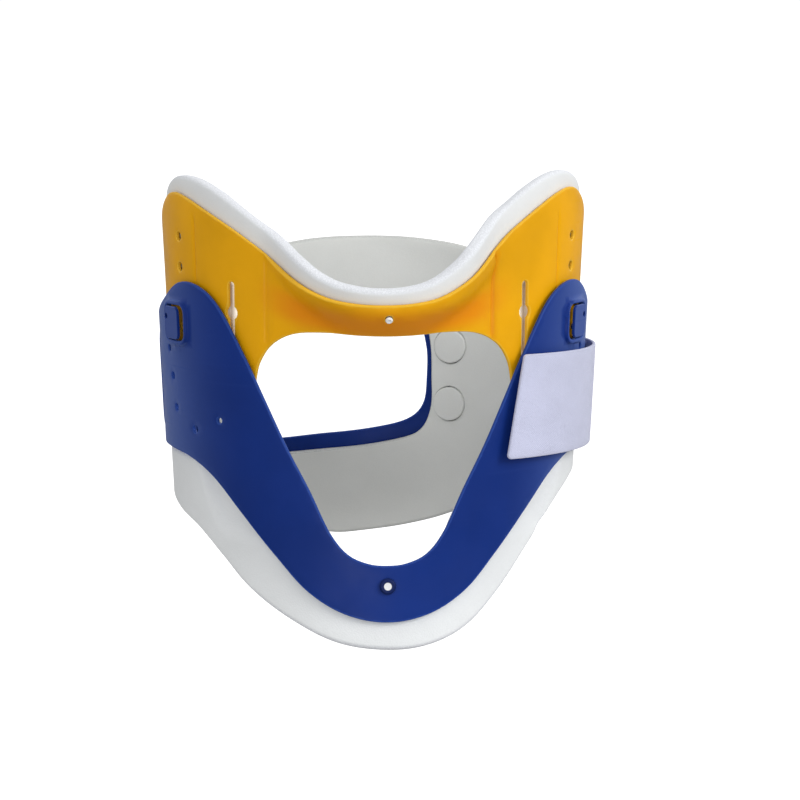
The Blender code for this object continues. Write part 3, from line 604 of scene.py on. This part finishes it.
def turned(name, profile, place, ring=False, radius=0.25, steps=40):
    """A solid of revolution about local Z from (radius, depth) points, with its corners rounded. Each
    point keeps its radius as its flat place, and is marked as far from any rim."""
    bm = bmesh.new()
    flat = bm.verts.layers.float_vector.new("flat")
    rim = bm.verts.layers.float.new("rim")
    rows = []
    for across, depth in softened(profile, ring, radius):
        if across < 1e-6:
            rows.append([bm.verts.new((0, 0, depth))] * steps)
            continue
        angles = [2 * math.pi * k / steps for k in range(steps)]
        rows.append([bm.verts.new((across * math.cos(a), across * math.sin(a), depth)) for a in angles])
    pairs = list(zip(rows, rows[1:]))
    if ring:
        pairs.append((rows[-1], rows[0]))
    for lower, upper in pairs:
        for k in range(steps):
            corners = list(dict.fromkeys((lower[k - 1], lower[k], upper[k], upper[k - 1])))
            if len(corners) > 2:
                bm.faces.new(corners)
    for vert in bm.verts:
        vert[flat] = (math.hypot(vert.co.x, vert.co.y), 0, vert.co.z)
        vert[rim] = 9.0
    return finished(name, bm, place)


def node(tree, kind, inputs=None, **settings):
    """A shader node with its settings, and its inputs set to values or linked to sockets."""
    made = tree.nodes.new("ShaderNode" + kind)
    for key, value in settings.items():
        setattr(made, key, value)
    for key, value in (inputs or {}).items():
        if isinstance(value, bpy.types.NodeSocket):
            tree.links.new(value, made.inputs[key])
        else:
            made.inputs[key].default_value = value
    return made


def mixed(tree, share, first, second):
    """A colour mix, as a socket."""
    mix = node(tree, "Mix", data_type="RGBA")
    for socket, value in zip((mix.inputs[0], mix.inputs[6], mix.inputs[7]), (share, first, second)):
        if isinstance(value, bpy.types.NodeSocket):
            tree.links.new(value, socket)
        else:
            socket.default_value = value
    return mix.outputs[2]


def ranged(tree, value, low, high, to_low=0.0, to_high=1.0):
    spread = {"Value": value, "From Min": low, "From Max": high, "To Min": to_low, "To Max": to_high}
    return node(tree, "MapRange", spread, interpolation_type="SMOOTHSTEP").outputs[0]


def tone(colour, factor):
    return (*[min(1.0, channel * factor) for channel in colour], 1)


def started(name):
    """A new material, its node tree, its shader and the place on the object."""
    material = bpy.data.materials.new(name)
    material.use_nodes = True
    tree = material.node_tree
    place = node(tree, "TexCoord").outputs["Object"]
    return material, tree, tree.nodes["Principled BSDF"], place


def grains(tree, place, scale, detail=4.0, stretch=None):
    """Noise from 0 to 1 at features of about 1 / scale metres."""
    if stretch:
        place = node(tree, "Mapping", {"Vector": place, "Scale": stretch}).outputs[0]
    return node(tree, "TexNoise", {"Vector": place, "Scale": scale, "Detail": detail}).outputs[0]


def joined_bumps(tree, heights):
    """One normal from several (height, distance in metres, strength) layers."""
    normal = None
    for height, distance, strength in heights:
        inputs = {"Height": height, "Distance": distance, "Strength": strength}
        if normal:
            inputs["Normal"] = normal
        normal = node(tree, "Bump", inputs).outputs[0]
    return normal


def set_inputs(tree, shader, **inputs):
    for key, value in inputs.items():
        socket = shader.inputs[key.replace("_", " ")]
        if isinstance(value, bpy.types.NodeSocket):
            tree.links.new(value, socket)
        else:
            socket.default_value = value


def sheet_plastic(name, colour, edge, roughness, with_rim=True, painted_sheen=None, painted_shade=None, centre=None):
    """Satin polyethylene: faint clouding, a fine matt grain, handling scratches and a paler cut edge.
    Where the surface turns away from the camera it pales towards a lighter colour, a painted sheen, and
    where its outer face is marked for painted light it takes a deeper colour, painted shade. A rivet can
    have another colour at its centre; the chest rivet's white centre is partly its pale dome and partly
    a painted highlight."""
    material, tree, shader, place = started(name)
    clouds = grains(tree, place, 24)
    body = mixed(tree, ranged(tree, clouds, 0.3, 0.7), tone(colour, 0.9), tone(colour, 1.08))
    scratches = grains(tree, place, 60, 6, (0.35, 0.35, 9))
    marks = ranged(tree, scratches, 0.62, 0.72)
    body = mixed(tree, node(tree, "Math", {0: marks, 1: 0.05}, operation="MULTIPLY").outputs[0], body,
                 tone(edge, 1.0))
    # Painted shade: where the outer face is marked for painted light, the colour deepens towards the shade
    # colour.
    if painted_shade:
        painted_light = node(tree, "Attribute", attribute_name="painted_light").outputs["Fac"]
        body = mixed(tree, painted_light, body, tone(painted_shade, 1.0))
    # The chest rivet's white centre is partly its pale dome and partly a painted highlight.
    if centre:
        flat = node(tree, "Attribute", attribute_name="flat").outputs["Vector"]
        across = node(tree, "SeparateXYZ", {0: flat}).outputs[0]
        body = mixed(tree, ranged(tree, across, 1.35, 1.6), tone(centre, 1.0), body)
    # Painted sheen: the colour pales where the surface turns away from the camera.
    if painted_sheen:
        turn = node(tree, "LayerWeight", {"Blend": 0.5}).outputs["Facing"]
        body = mixed(tree, ranged(tree, turn, 0.2, 0.95, 0.0, 0.75), body, tone(painted_sheen, 1.0))
    if with_rim:
        rim = node(tree, "Attribute", attribute_name="rim").outputs["Fac"]
        worn = grains(tree, place, 420)
        reach = node(tree, "Math", {0: worn, 1: 0.9}, operation="MULTIPLY").outputs[0]
        near = node(tree, "Math", {0: rim, 1: reach}, operation="SUBTRACT").outputs[0]
        body = mixed(tree, ranged(tree, near, -0.1, 0.35, 0.75, 0.0), body, tone(edge, 1.0))
    fine = grains(tree, place, 2600, 2)
    waves = grains(tree, place, 55, 2)
    rough = ranged(tree, grains(tree, place, 90, 5), 0.3, 0.7, roughness - 0.05, roughness + 0.09)
    rough = node(tree, "Math", {0: marks, 1: 0.12, 2: rough}, operation="MULTIPLY_ADD").outputs[0]
    normal = joined_bumps(tree, [(waves, 0.0008, 0.25), (fine, 0.00004, 0.35), (marks, 0.00002, 0.2)])
    set_inputs(tree, shader, Base_Color=body, Roughness=rough, Normal=normal, Specular_IOR_Level=0.1)
    return material


def foam(name, colour, cut):
    """Closed-cell foam: a fine skin with shallow cells and soft dents, and open cells at the cut edge.
    Where it is marked for painted light it has a painted glow, a warm emission for daylight coming through
    the thinned foam."""
    material, tree, shader, place = started(name)
    clouds = grains(tree, place, 18, 5)
    body = mixed(tree, ranged(tree, clouds, 0.3, 0.7), tone(colour, 0.95), tone(colour, 1.04))
    cells = node(tree, "TexVoronoi", {"Vector": place, "Scale": 1500}).outputs["Distance"]
    body = mixed(tree, ranged(tree, cells, 0.0, 0.9, 0.1, 0.0), body, tone(colour, 0.82))
    rim = node(tree, "Attribute", attribute_name="rim").outputs["Fac"]
    at_cut = ranged(tree, rim, 0.2, 1.6, 1.0, 0.0)
    specks = ranged(tree, grains(tree, place, 1900, 3), 0.45, 0.62)
    cut_colour = mixed(tree, specks, tone(cut, 0.9), tone(cut, 1.04))
    body = mixed(tree, at_cut, body, cut_colour)
    depth = node(tree, "Math", {0: at_cut, 1: 0.00012, 2: 0.00007}, operation="MULTIPLY_ADD").outputs[0]
    layers = [(grains(tree, place, 70, 3), 0.0009, 0.3), (cells, depth, 0.5),
              (grains(tree, place, 3200, 2), 0.00005, 0.4)]
    # Painted glow: emission where the padding is marked for painted light.
    painted_glow = node(tree, "Attribute", attribute_name="painted_light").outputs["Fac"]
    glow = node(tree, "Math", {0: painted_glow, 1: 0.75}, operation="MULTIPLY").outputs[0]
    set_inputs(tree, shader, Emission_Color=(1, 0.93, 0.78, 1), Emission_Strength=glow)
    set_inputs(tree, shader, Base_Color=body, Roughness=0.82, Normal=joined_bumps(tree, layers),
               Sheen_Weight=0.12, Sheen_Roughness=0.6, Specular_IOR_Level=0.3)
    return material


def tape(name, colour, pitch, depth, fuzz):
    """Woven or brushed tape: a weave along and across it, and loose fibres over that."""
    material, tree, shader, place = started(name)
    flat = node(tree, "Attribute", attribute_name="flat").outputs["Vector"]
    frequency = 2 * math.pi / pitch
    threads = node(tree, "VectorMath", {0: flat, 1: (frequency,) * 3}, operation="MULTIPLY").outputs[0]
    split = node(tree, "SeparateXYZ", {0: threads})
    warp = node(tree, "Math", {0: split.outputs[0]}, operation="SINE").outputs[0]
    weft = node(tree, "Math", {0: split.outputs[1]}, operation="SINE").outputs[0]
    weave = node(tree, "Math", {0: warp, 1: weft}, operation="MULTIPLY").outputs[0]
    fibres = grains(tree, flat, 2.2, 6, (1.0, 2.4, 1.0))
    clouds = grains(tree, flat, 0.06, 4)
    body = mixed(tree, ranged(tree, clouds, 0.3, 0.7), tone(colour, 0.94), tone(colour, 1.05))
    body = mixed(tree, ranged(tree, fibres, 0.35, 0.65, 0.0, 0.35), body, tone(colour, 0.86))
    body = mixed(tree, ranged(tree, weave, -1.0, 1.0, 0.14, 0.0), body, tone(colour, 0.7))
    rim = node(tree, "Attribute", attribute_name="rim").outputs["Fac"]
    body = mixed(tree, ranged(tree, rim, 0.4, 1.5, 0.3, 0.0), body, tone(colour, 0.78))
    normal = joined_bumps(tree, [(weave, depth, 0.6), (fibres, fuzz, 0.6)])
    set_inputs(tree, shader, Base_Color=body, Roughness=0.92, Normal=normal, Sheen_Weight=0.35,
               Sheen_Roughness=0.45, Specular_IOR_Level=0.2)
    return material


def place_light(name, place, size, power):
    """A round soft light, aimed at the collar's middle."""
    data = bpy.data.lights.new(name, "AREA")
    data.shape = "DISK"
    data.size = size
    data.energy = power
    light = bpy.data.objects.new(name, data)
    light.location = place
    light.rotation_euler = (-Vector(place)).to_track_quat("-Z", "Y").to_euler()
    bpy.context.collection.objects.link(light)


def camera():
    """A long lens, a little to the wearer's right of the front and a little above."""
    azimuth, elevation = math.radians(CAMERA_AZIMUTH), math.radians(CAMERA_ELEVATION)
    data = bpy.data.cameras.new("camera")
    data.lens, data.sensor_width = LENS, SENSOR_WIDTH
    data.shift_x, data.shift_y = CAMERA_SHIFT
    data.clip_start, data.clip_end = 0.05, 50
    view = bpy.data.objects.new("camera", data)
    flat_reach = math.cos(elevation) * CAMERA_DISTANCE
    view.location = (math.sin(azimuth) * flat_reach, -math.cos(azimuth) * flat_reach,
                     math.sin(elevation) * CAMERA_DISTANCE)
    view.rotation_euler = (-view.location).to_track_quat("-Z", "Y").to_euler()
    bpy.context.collection.objects.link(view)
    bpy.context.scene.camera = view


def studio():
    """A pale floor well below the collar, which is shown as it is worn, and soft white light."""
    mesh = bpy.data.meshes.new("floor")
    signs = ((-1, -1), (1, -1), (1, 1), (-1, 1))
    corners = [(FLOOR_REACH * x, FLOOR_REACH * y, FLOOR_LEVEL) for x, y in signs]
    mesh.from_pydata(corners, [], [(0, 1, 2, 3)])
    floor = bpy.data.objects.new("floor", mesh)
    bpy.context.collection.objects.link(floor)
    material, tree, shader, place = started("floor_white")
    clouds = grains(tree, place, 1.5, 2)
    set_inputs(tree, shader, Base_Color=mixed(tree, clouds, (0.36, 0.36, 0.36, 1), (0.40, 0.40, 0.40, 1)),
               Roughness=0.9, Specular_IOR_Level=0.1, Emission_Color=(1, 1, 1, 1),
               Emission_Strength=ranged(tree, node(tree, "LightPath").outputs["Is Camera Ray"], 0, 1))
    mesh.materials.append(material)
    world = bpy.data.worlds.new("studio")
    bpy.context.scene.world = world
    world.use_nodes = True
    sky = world.node_tree
    seen = node(sky, "LightPath").outputs["Is Camera Ray"]
    strength = node(sky, "MapRange", {"Value": seen, "To Min": WORLD_LIGHT, "To Max": 1.05}).outputs[0]
    sky.links.new(strength, sky.nodes["Background"].inputs["Strength"])
    sky.nodes["Background"].inputs["Color"].default_value = (1, 1, 1, 1)
    bpy.context.scene.view_settings.view_transform = "Standard"
    place_light("key", KEY_PLACE, 0.7, KEY_POWER)
    place_light("fill", FILL_PLACE, 0.6, FILL_POWER)
    place_light("back", BACK_PLACE, 0.8, BACK_POWER)


def ready(obj, body, material, nodes):
    """Gives a piece its material, and lets it stand for CAD nodes and ride on their body."""
    obj.data.materials.clear()
    obj.data.materials.append(material)
    if body:
        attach(obj, body)
    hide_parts(*nodes)


def ripple(u, z, size, height, seed):
    """A slow unevenness, size across and height high."""
    return height * noise.noise(Vector((u / size, z / size, seed)))


def near(u, z, place, reach):
    """1 at a place, falling smoothly to 0 at reach from it."""
    return 1 - smooth_step(math.hypot(u - place[0], z - place[1]) / reach)


def chin_face(u, z):
    """The outer face of the chin shell: raised strips for the holes, a bead along the shelf's lip, and
    thinned folds."""
    across = abs(u + WING_SHIFT)
    strip = smooth_step((across - STRIP_U - 0.2) / 0.7) * smooth_step((STRIP_TOP + 4 - z) / 5)
    strip *= smooth_step((STRIP_END - across) / 5)
    fold = max(0.0, 1 - abs(across - FOLD_U) / FOLD_HALF_WIDTH)
    line = max(0.0, 1 - abs(across - STRIP_U) / 0.8) * smooth_step((STRIP_TOP - z) / 3)
    bead = smooth_step(1 - abs(z - BEAD_Z - BEAD_BEND * u**2) / 2.6) * smooth_step((52 - abs(u)) / 10)
    folds = (1.0 if u > 0 else 0.6) * fold + 0.55 * line
    return STRIP_HEIGHT * strip + BEAD_HEIGHT * bead - folds + ripple(u, z, 26, 0.08, 3)


def shelf_painted_shade(u, z):
    """Painted shade: a deeper orange for the band in shade under the chin shelf, and for the fold on the
    wearer's left.
    """
    middle = 43 + 0.0042 * u**2
    band = 0.8 * smooth_step((54 - abs(u)) / 22) * smooth_step(1.3 - abs(z - middle) / 6.5)
    fold = 0.3 * smooth_step(1.2 - abs(u + WING_SHIFT - FOLD_U) / 2.0)
    return max(band, fold)


def slot_painted_glow(u, z):
    """Painted glow: the strip of padding behind each guide slot, thinned by the stud's groove, is made to
    glow.
    """
    across = abs(abs(u + WING_SHIFT) - GUIDE_U)
    return smooth_step((3.0 - across) / 1.2) * smooth_step((60 - z) / 2) * smooth_step((z - 19) / 3)


def chin_pieces(plastic, padding):
    holes = [circle(0, CHIN_RIVET_Z, CHIN_RIVET_HOLE)]
    for side in (-1, 1):
        holes.append(finely(keyhole_slot(wing_u(side, GUIDE_U))))
        peg_u = wing_u(side, LOCK_U)
        holes += [circle(peg_u, PEG_Z + HOLE_PITCH * k, HOLE_RADIUS) for k in range(HOLE_COUNT)]
    closer = [wing_u(side, line) for side in (-1, 1) for line in (STRIP_U, FOLD_U)]
    marks = circle(0, CHIN_RIVET_Z, 2.1, 12) + circle(0, CHIN_RIVET_Z, 3.6, 14)
    shell = wrapped_solid("chin_sheet", skewed(spline(mirrored(CHIN_HALF))), holes, CHIN_INNER, CHIN_OUTER,
                          SHELL_EDGE, front=chin_face, closer=closer, marks=marks, painted_light=shelf_painted_shade)
    ready(shell, "chin", plastic, ["chin_shell"])

    def pressed(u, z):
        """The face against the shell, with a groove for each guide stud and one behind each peg's holes."""
        across = abs(u + WING_SHIFT)
        groove = smooth_step((4.8 - abs(across - GUIDE_U)) / 0.8) * smooth_step((56.5 - z) / 1.5)
        column = smooth_step((2.6 - abs(across - LOCK_U)) / 0.6) * smooth_step((75.6 - z) / 1.2)
        return -1.8 * groove - 0.5 * column * smooth_step((z - 33.6) / 1.2)

    def soft(u, z):
        """The face against the chin and jaw."""
        dimple = 1.1 * near(u, z, (0, CHIN_RIVET_Z), 8)
        return dimple + ripple(u, z, 21, 0.45, 5) + ripple(u, z, 8, 0.15, 9)

    pad_holes = [circle(0, CHIN_RIVET_Z, CHIN_RIVET_HOLE)]
    outline = skewed(spline(mirrored(CHIN_FOAM_HALF)))
    closer = [wing_u(side, GUIDE_U + edge) for side in (-1, 1) for edge in (-4.4, 4.4)]
    pad = wrapped_solid("chin_pad", outline, pad_holes, PAD_FACE - FOAM, PAD_FACE, FOAM_EDGE,
                        front=pressed, back=soft, closer=closer, turns=5, painted_light=slot_painted_glow)
    ready(pad, "chin", padding, ["chin_foam"])


def chest_pieces(plastic, padding):
    holes = [circle(0, CHEST_RIVET_Z, RIVET_HOLE)]
    holes += [circle(SIDE_RIVET_U, z, RIVET_HOLE) for z in SIDE_RIVET_Z]
    marks = []
    for side in (-1, 1):
        holes.append(finely(lock_window(side)))
        holes += [circle(wing_u(side, reach), z, radius, 20) for reach, z, radius in WING_HOLES]
        for share in (0, 0.25, 0.5, 0.75, 1):
            marks += finely(lock_window(side, FRAME_WIDTH + FRAME_FOOT * share))

    def face(u, z):
        """A raised frame round each lock window, on a face that isn't quite even."""
        foot = (FRAME_WIDTH + FRAME_FOOT - window_distance(u, z)) / FRAME_FOOT
        return FRAME_HEIGHT * smooth_step(foot) + ripple(u, z, 30, 0.14, 1)

    shell = wrapped_solid("chest_sheet", spline(mirrored(CHEST_HALF)), holes, CHEST_INNER, CHEST_OUTER,
                          SHELL_EDGE, front=face, marks=marks)
    ready(shell, "front", plastic, ["chest_shell"])

    def soft(u, z):
        """The face against the chest, pressed in round the rivet."""
        dimple = near(u, z, (0, CHEST_RIVET_Z), 9)
        return dimple + ripple(u, z, 22, 0.45, 7) + ripple(u, z, 8, 0.15, 11)

    pad_holes = [circle(0, CHEST_RIVET_Z, RIVET_HOLE)]
    pad = wrapped_solid("chest_pad", spline(CHEST_FOAM), pad_holes, -FOAM, 0.0, FOAM_EDGE, rise=bib_rise,
                        back=soft, turns=5)
    ready(pad, "front", padding, ["chest_foam"])


def rear_pieces(plastic, padding):
    """The rear sheet is one with its riveted end, past a thinned fold."""
    outline = list(REAR_SHELL)
    first, last = outline.index((-84, 31)), outline.index((-84, -15))
    riveted = [(-88, 31), (-98, 32), (-106.5, 32), (-109.5, 28), (-109.8, 12), (-109.5, -4), (-106.5, -9),
               (-98, -11), (-88, -14)]
    outline = outline[:first] + riveted + outline[last + 1:]
    holes = [at_back(spline(REAR_SHELL_WINDOW))]
    holes += [at_back(circle(STRAP_RIVET_S, z, RIVET_HOLE)) for z in STRAP_RIVET_Z]
    holes += [circle(SIDE_RIVET_U + GIRTH, z, RIVET_HOLE) for z in SIDE_RIVET_Z]

    def face(u, z):
        fold = max(0.0, 1 - abs(u - HINGE_U - GIRTH) / FOLD_HALF_WIDTH)
        return ripple(u, z, 30, 0.14, 13) - 0.7 * fold

    shell = wrapped_solid("rear_sheet", at_back(spline(outline)), holes, REAR_INNER, REAR_OUTER,
                          SHELL_EDGE, rise=rear_rise, front=face, closer=(HINGE_U + GIRTH,))
    ready(shell, None, plastic, ["rear_shell", "rear_tab"])
    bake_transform(shell)

    def soft(u, z):
        return ripple(u, z, 22, 0.5, 17) + ripple(u, z, 8, 0.15, 19)

    holes = [at_back(spline(REAR_FOAM_WINDOW))]
    holes += [at_back(circle(STRAP_RIVET_S, z, COVER_RADIUS + COVER_ROOM, 40)) for z in STRAP_RIVET_Z]
    pad = wrapped_solid("rear_pad", at_back(spline(REAR_FOAM)), holes, REAR_INNER - GAP - FOAM - 1,
                        REAR_INNER - GAP, 1.6, rise=rear_rise, back=soft, turns=5)
    ready(pad, "rear", padding, ["rear_foam"])


def closure_pieces(webbing, hooks, loops):
    corners = ((29, STRAP_LOW), STRAP_END_LOW, STRAP_END_HIGH, (29, STRAP_HIGH))
    rivets = [at_back(circle(STRAP_RIVET_S, z, RIVET_HOLE)) for z in STRAP_RIVET_Z]

    def face(u, z):
        return ripple(u, z, 17, 0.25, 23)

    strap = wrapped_solid("strap", at_back(finely(rounded(corners, 1.5))), rivets, ROOT_INNER,
                          ROOT_INNER + STRAP, 0.5, rise=strap_rise, front=face, back=face,
                          closer=(HALF_GIRTH - ROOT_END - ROOT_GAP / 2,))
    ready(strap, None, webbing, ["closure_strap", "strap_root"])
    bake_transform(strap)
    outline = finely(box_outline(57, 112, -8, 26, 3.0))
    pad = wrapped_solid("hook_tape", outline, [], PAD_INNER, PAD_OUTER, TAPE_EDGE)
    ready(pad, "strap", hooks, ["strap_hook_pad"])
    outline = finely(box_outline(60, 116, -7, 25, 3.0))
    patch = wrapped_solid("loop_tape", outline, [], LAP_INNER, PATCH_OUTER, TAPE_EDGE)
    ready(patch, "front", loops, ["front_loop_patch"])


def pad_rivet(name, body, z, head, shank, shell_outer, foam_inner, stud_material, cap_material):
    """A snap rivet on the centre line: a stud outside the shell, and the cap inside the foam."""
    place = frame_at(0, z)
    face = shell_outer + GAP
    profile = (
        (0, foam_inner - 1.6), (shank - 0.3, foam_inner - 1.6), (shank, foam_inner - 1.2), (shank, face),
        (head, face), (head, face + 0.5), (head * 0.82, face + 1.0), (head * 0.55, face + 1.0),
        (head * 0.45, face + 0.7), (0, face + 0.7),
    )
    stud = turned(name + "_stud", profile, place)
    ready(stud, body, stud_material, [name])
    low = foam_inner - GAP - 0.9
    profile = ((shank + GAP, low), (head + 0.6, low), (head + 1.3, low + 0.4), (head + 1.3, low + 0.9),
               (shank + GAP, low + 0.9))
    cap = turned(name + "_inner_cap", profile, place, ring=True)
    ready(cap, body, cap_material, [name + "_cap"])


def through_rivet(kind, end, body, place, inner_face, outer_face, head, washer, material):
    """A rivet through sheets, with its domed head outside and a washer under its spread inner end."""
    tip, spread = inner_face - 1.5, inner_face - 1.3
    profile = (
        (0, tip), (1.8, tip), (2.2, spread), (RIVET_SHANK, spread), (RIVET_SHANK, outer_face),
        (head, outer_face), (head - 0.2, outer_face + 0.6), (head * 0.63, outer_face + 1.1),
        (0, outer_face + 1.2),
    )
    rivet = turned(f"{kind}_pin_{end}", profile, place)
    ready(rivet, body, material, [f"{kind}_rivet_{end}"])
    bore, low = RIVET_SHANK + GAP, inner_face - 1.0
    profile = ((bore, low), (washer, low), (washer, inner_face), (bore, inner_face))
    ring = turned(f"{kind}_ring_{end}", profile, place, ring=True)
    ready(ring, body, material, [f"{kind}_washer_{end}"])


def rivets(white, dark, grey_padding):
    pad_rivet("chest_rivet", "front", CHEST_RIVET_Z, 3.1, 1.2, CHEST_OUTER, -FOAM + BIB_RISE - GAP, dark,
              white)
    pad_rivet("chin_rivet", "chin", CHIN_RIVET_Z, 1.4, 0.75, CHIN_OUTER, -FOAM - 0.8, white,
              white)
    for end, z in zip(RIVET_ENDS, SIDE_RIVET_Z):
        place = frame_at(SIDE_RIVET_U, z)
        through_rivet("side", end, "front", place, CHEST_INNER - GAP, LAP_INNER + SHEET + GAP, 3.8, 3.4,
                      white)
    for end, z in zip(RIVET_ENDS, STRAP_RIVET_Z):
        place = frame_at(HALF_GIRTH - STRAP_RIVET_S, z)
        inner_face = REAR_INNER - GAP
        through_rivet("strap", end, "rear", place, inner_face, ROOT_INNER + STRAP + GAP, 4.0, 4.2, white)
        top, bottom = inner_face - 1.8, -FOAM - 1.3
        side = COVER_RADIUS + COVER_SPREAD
        profile = ((0, bottom), (side, bottom), (side, top), (0, top))
        cover = turned(f"foam_button_{end}", profile, place, radius=0.7)
        ready(cover, "rear", grey_padding, [f"rivet_cover_{end}"])


def guide_studs(blue, white):
    for name, side in (("left", -1), ("right", 1)):
        place = frame_at(wing_u(side, GUIDE_U), GUIDE_Z)
        shoulder, shank, foot = 2.6, STUD_RADIUS, 2.0
        profile = (
            (0, -1.5), (foot - 0.4, -1.5), (foot, -1.2), (foot, -1.0), (shank, -1.0),
            (shank, CHIN_OUTER + 0.8), (shoulder, CHIN_OUTER + 0.8), (shoulder, CHEST_INNER - GAP),
            (0, CHEST_INNER - GAP),
        )
        stud = turned(f"guide_pin_{name}", profile, place, radius=0.12)
        ready(stud, "front", blue, [f"guide_stud_{name}"])
        profile = ((shank + GAP, -0.8), (3.6, -0.8), (3.6, -0.2), (shank + GAP, -0.2))
        washer = turned(f"guide_ring_{name}", profile, place, ring=True, radius=0.12)
        ready(washer, "front", white, [f"guide_washer_{name}"])


def main():
    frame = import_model()
    camera()
    studio()
    # The yellow's deeper orange is painted shade under the chin shelf and in the fold on the wearer's left.
    yellow = sheet_plastic("yellow_plastic", YELLOW, (0.86, 0.50, 0.04), 0.34, painted_shade=(0.80, 0.24, 0.006))
    blue = sheet_plastic("blue_plastic", BLUE, (0.025, 0.07, 0.32), 0.36, painted_sheen=(0.10, 0.17, 0.46))
    small_blue = sheet_plastic("small_blue_plastic", BLUE, (0.025, 0.07, 0.32), 0.34, with_rim=False,
                               painted_sheen=(0.09, 0.15, 0.42))
    dark = sheet_plastic("dark_blue_plastic", DARK_BLUE, (0.06, 0.11, 0.30), 0.3, with_rim=False,
                         centre=WHITE)
    white = sheet_plastic("white_nylon", WHITE, (0.95, 0.95, 0.95), 0.36, with_rim=False)
    pale = foam("pale_padding", PALE_FOAM, (0.80, 0.82, 0.86))
    grey = foam("grey_padding", GREY_FOAM, (0.60, 0.61, 0.59))
    webbing = tape("lilac_webbing", LILAC_WEB, 0.9, 0.00012, 0.00025)
    hooks = tape("hook_webbing", WHITE, 1.4, 0.0003, 0.0001)
    loops = tape("loop_webbing", DARK_BLUE, 0.8, 0.0001, 0.0004)
    chin_pieces(yellow, pale)
    chest_pieces(blue, pale)
    rear_pieces(blue, grey)
    closure_pieces(webbing, hooks, loops)
    rivets(white, dark, grey)
    guide_studs(small_blue, white)
    for side in ("left", "right"):
        button = frame["nodes"][f"size_lock_{side}"]
        for slot in button.material_slots:
            slot.material = small_blue


main()
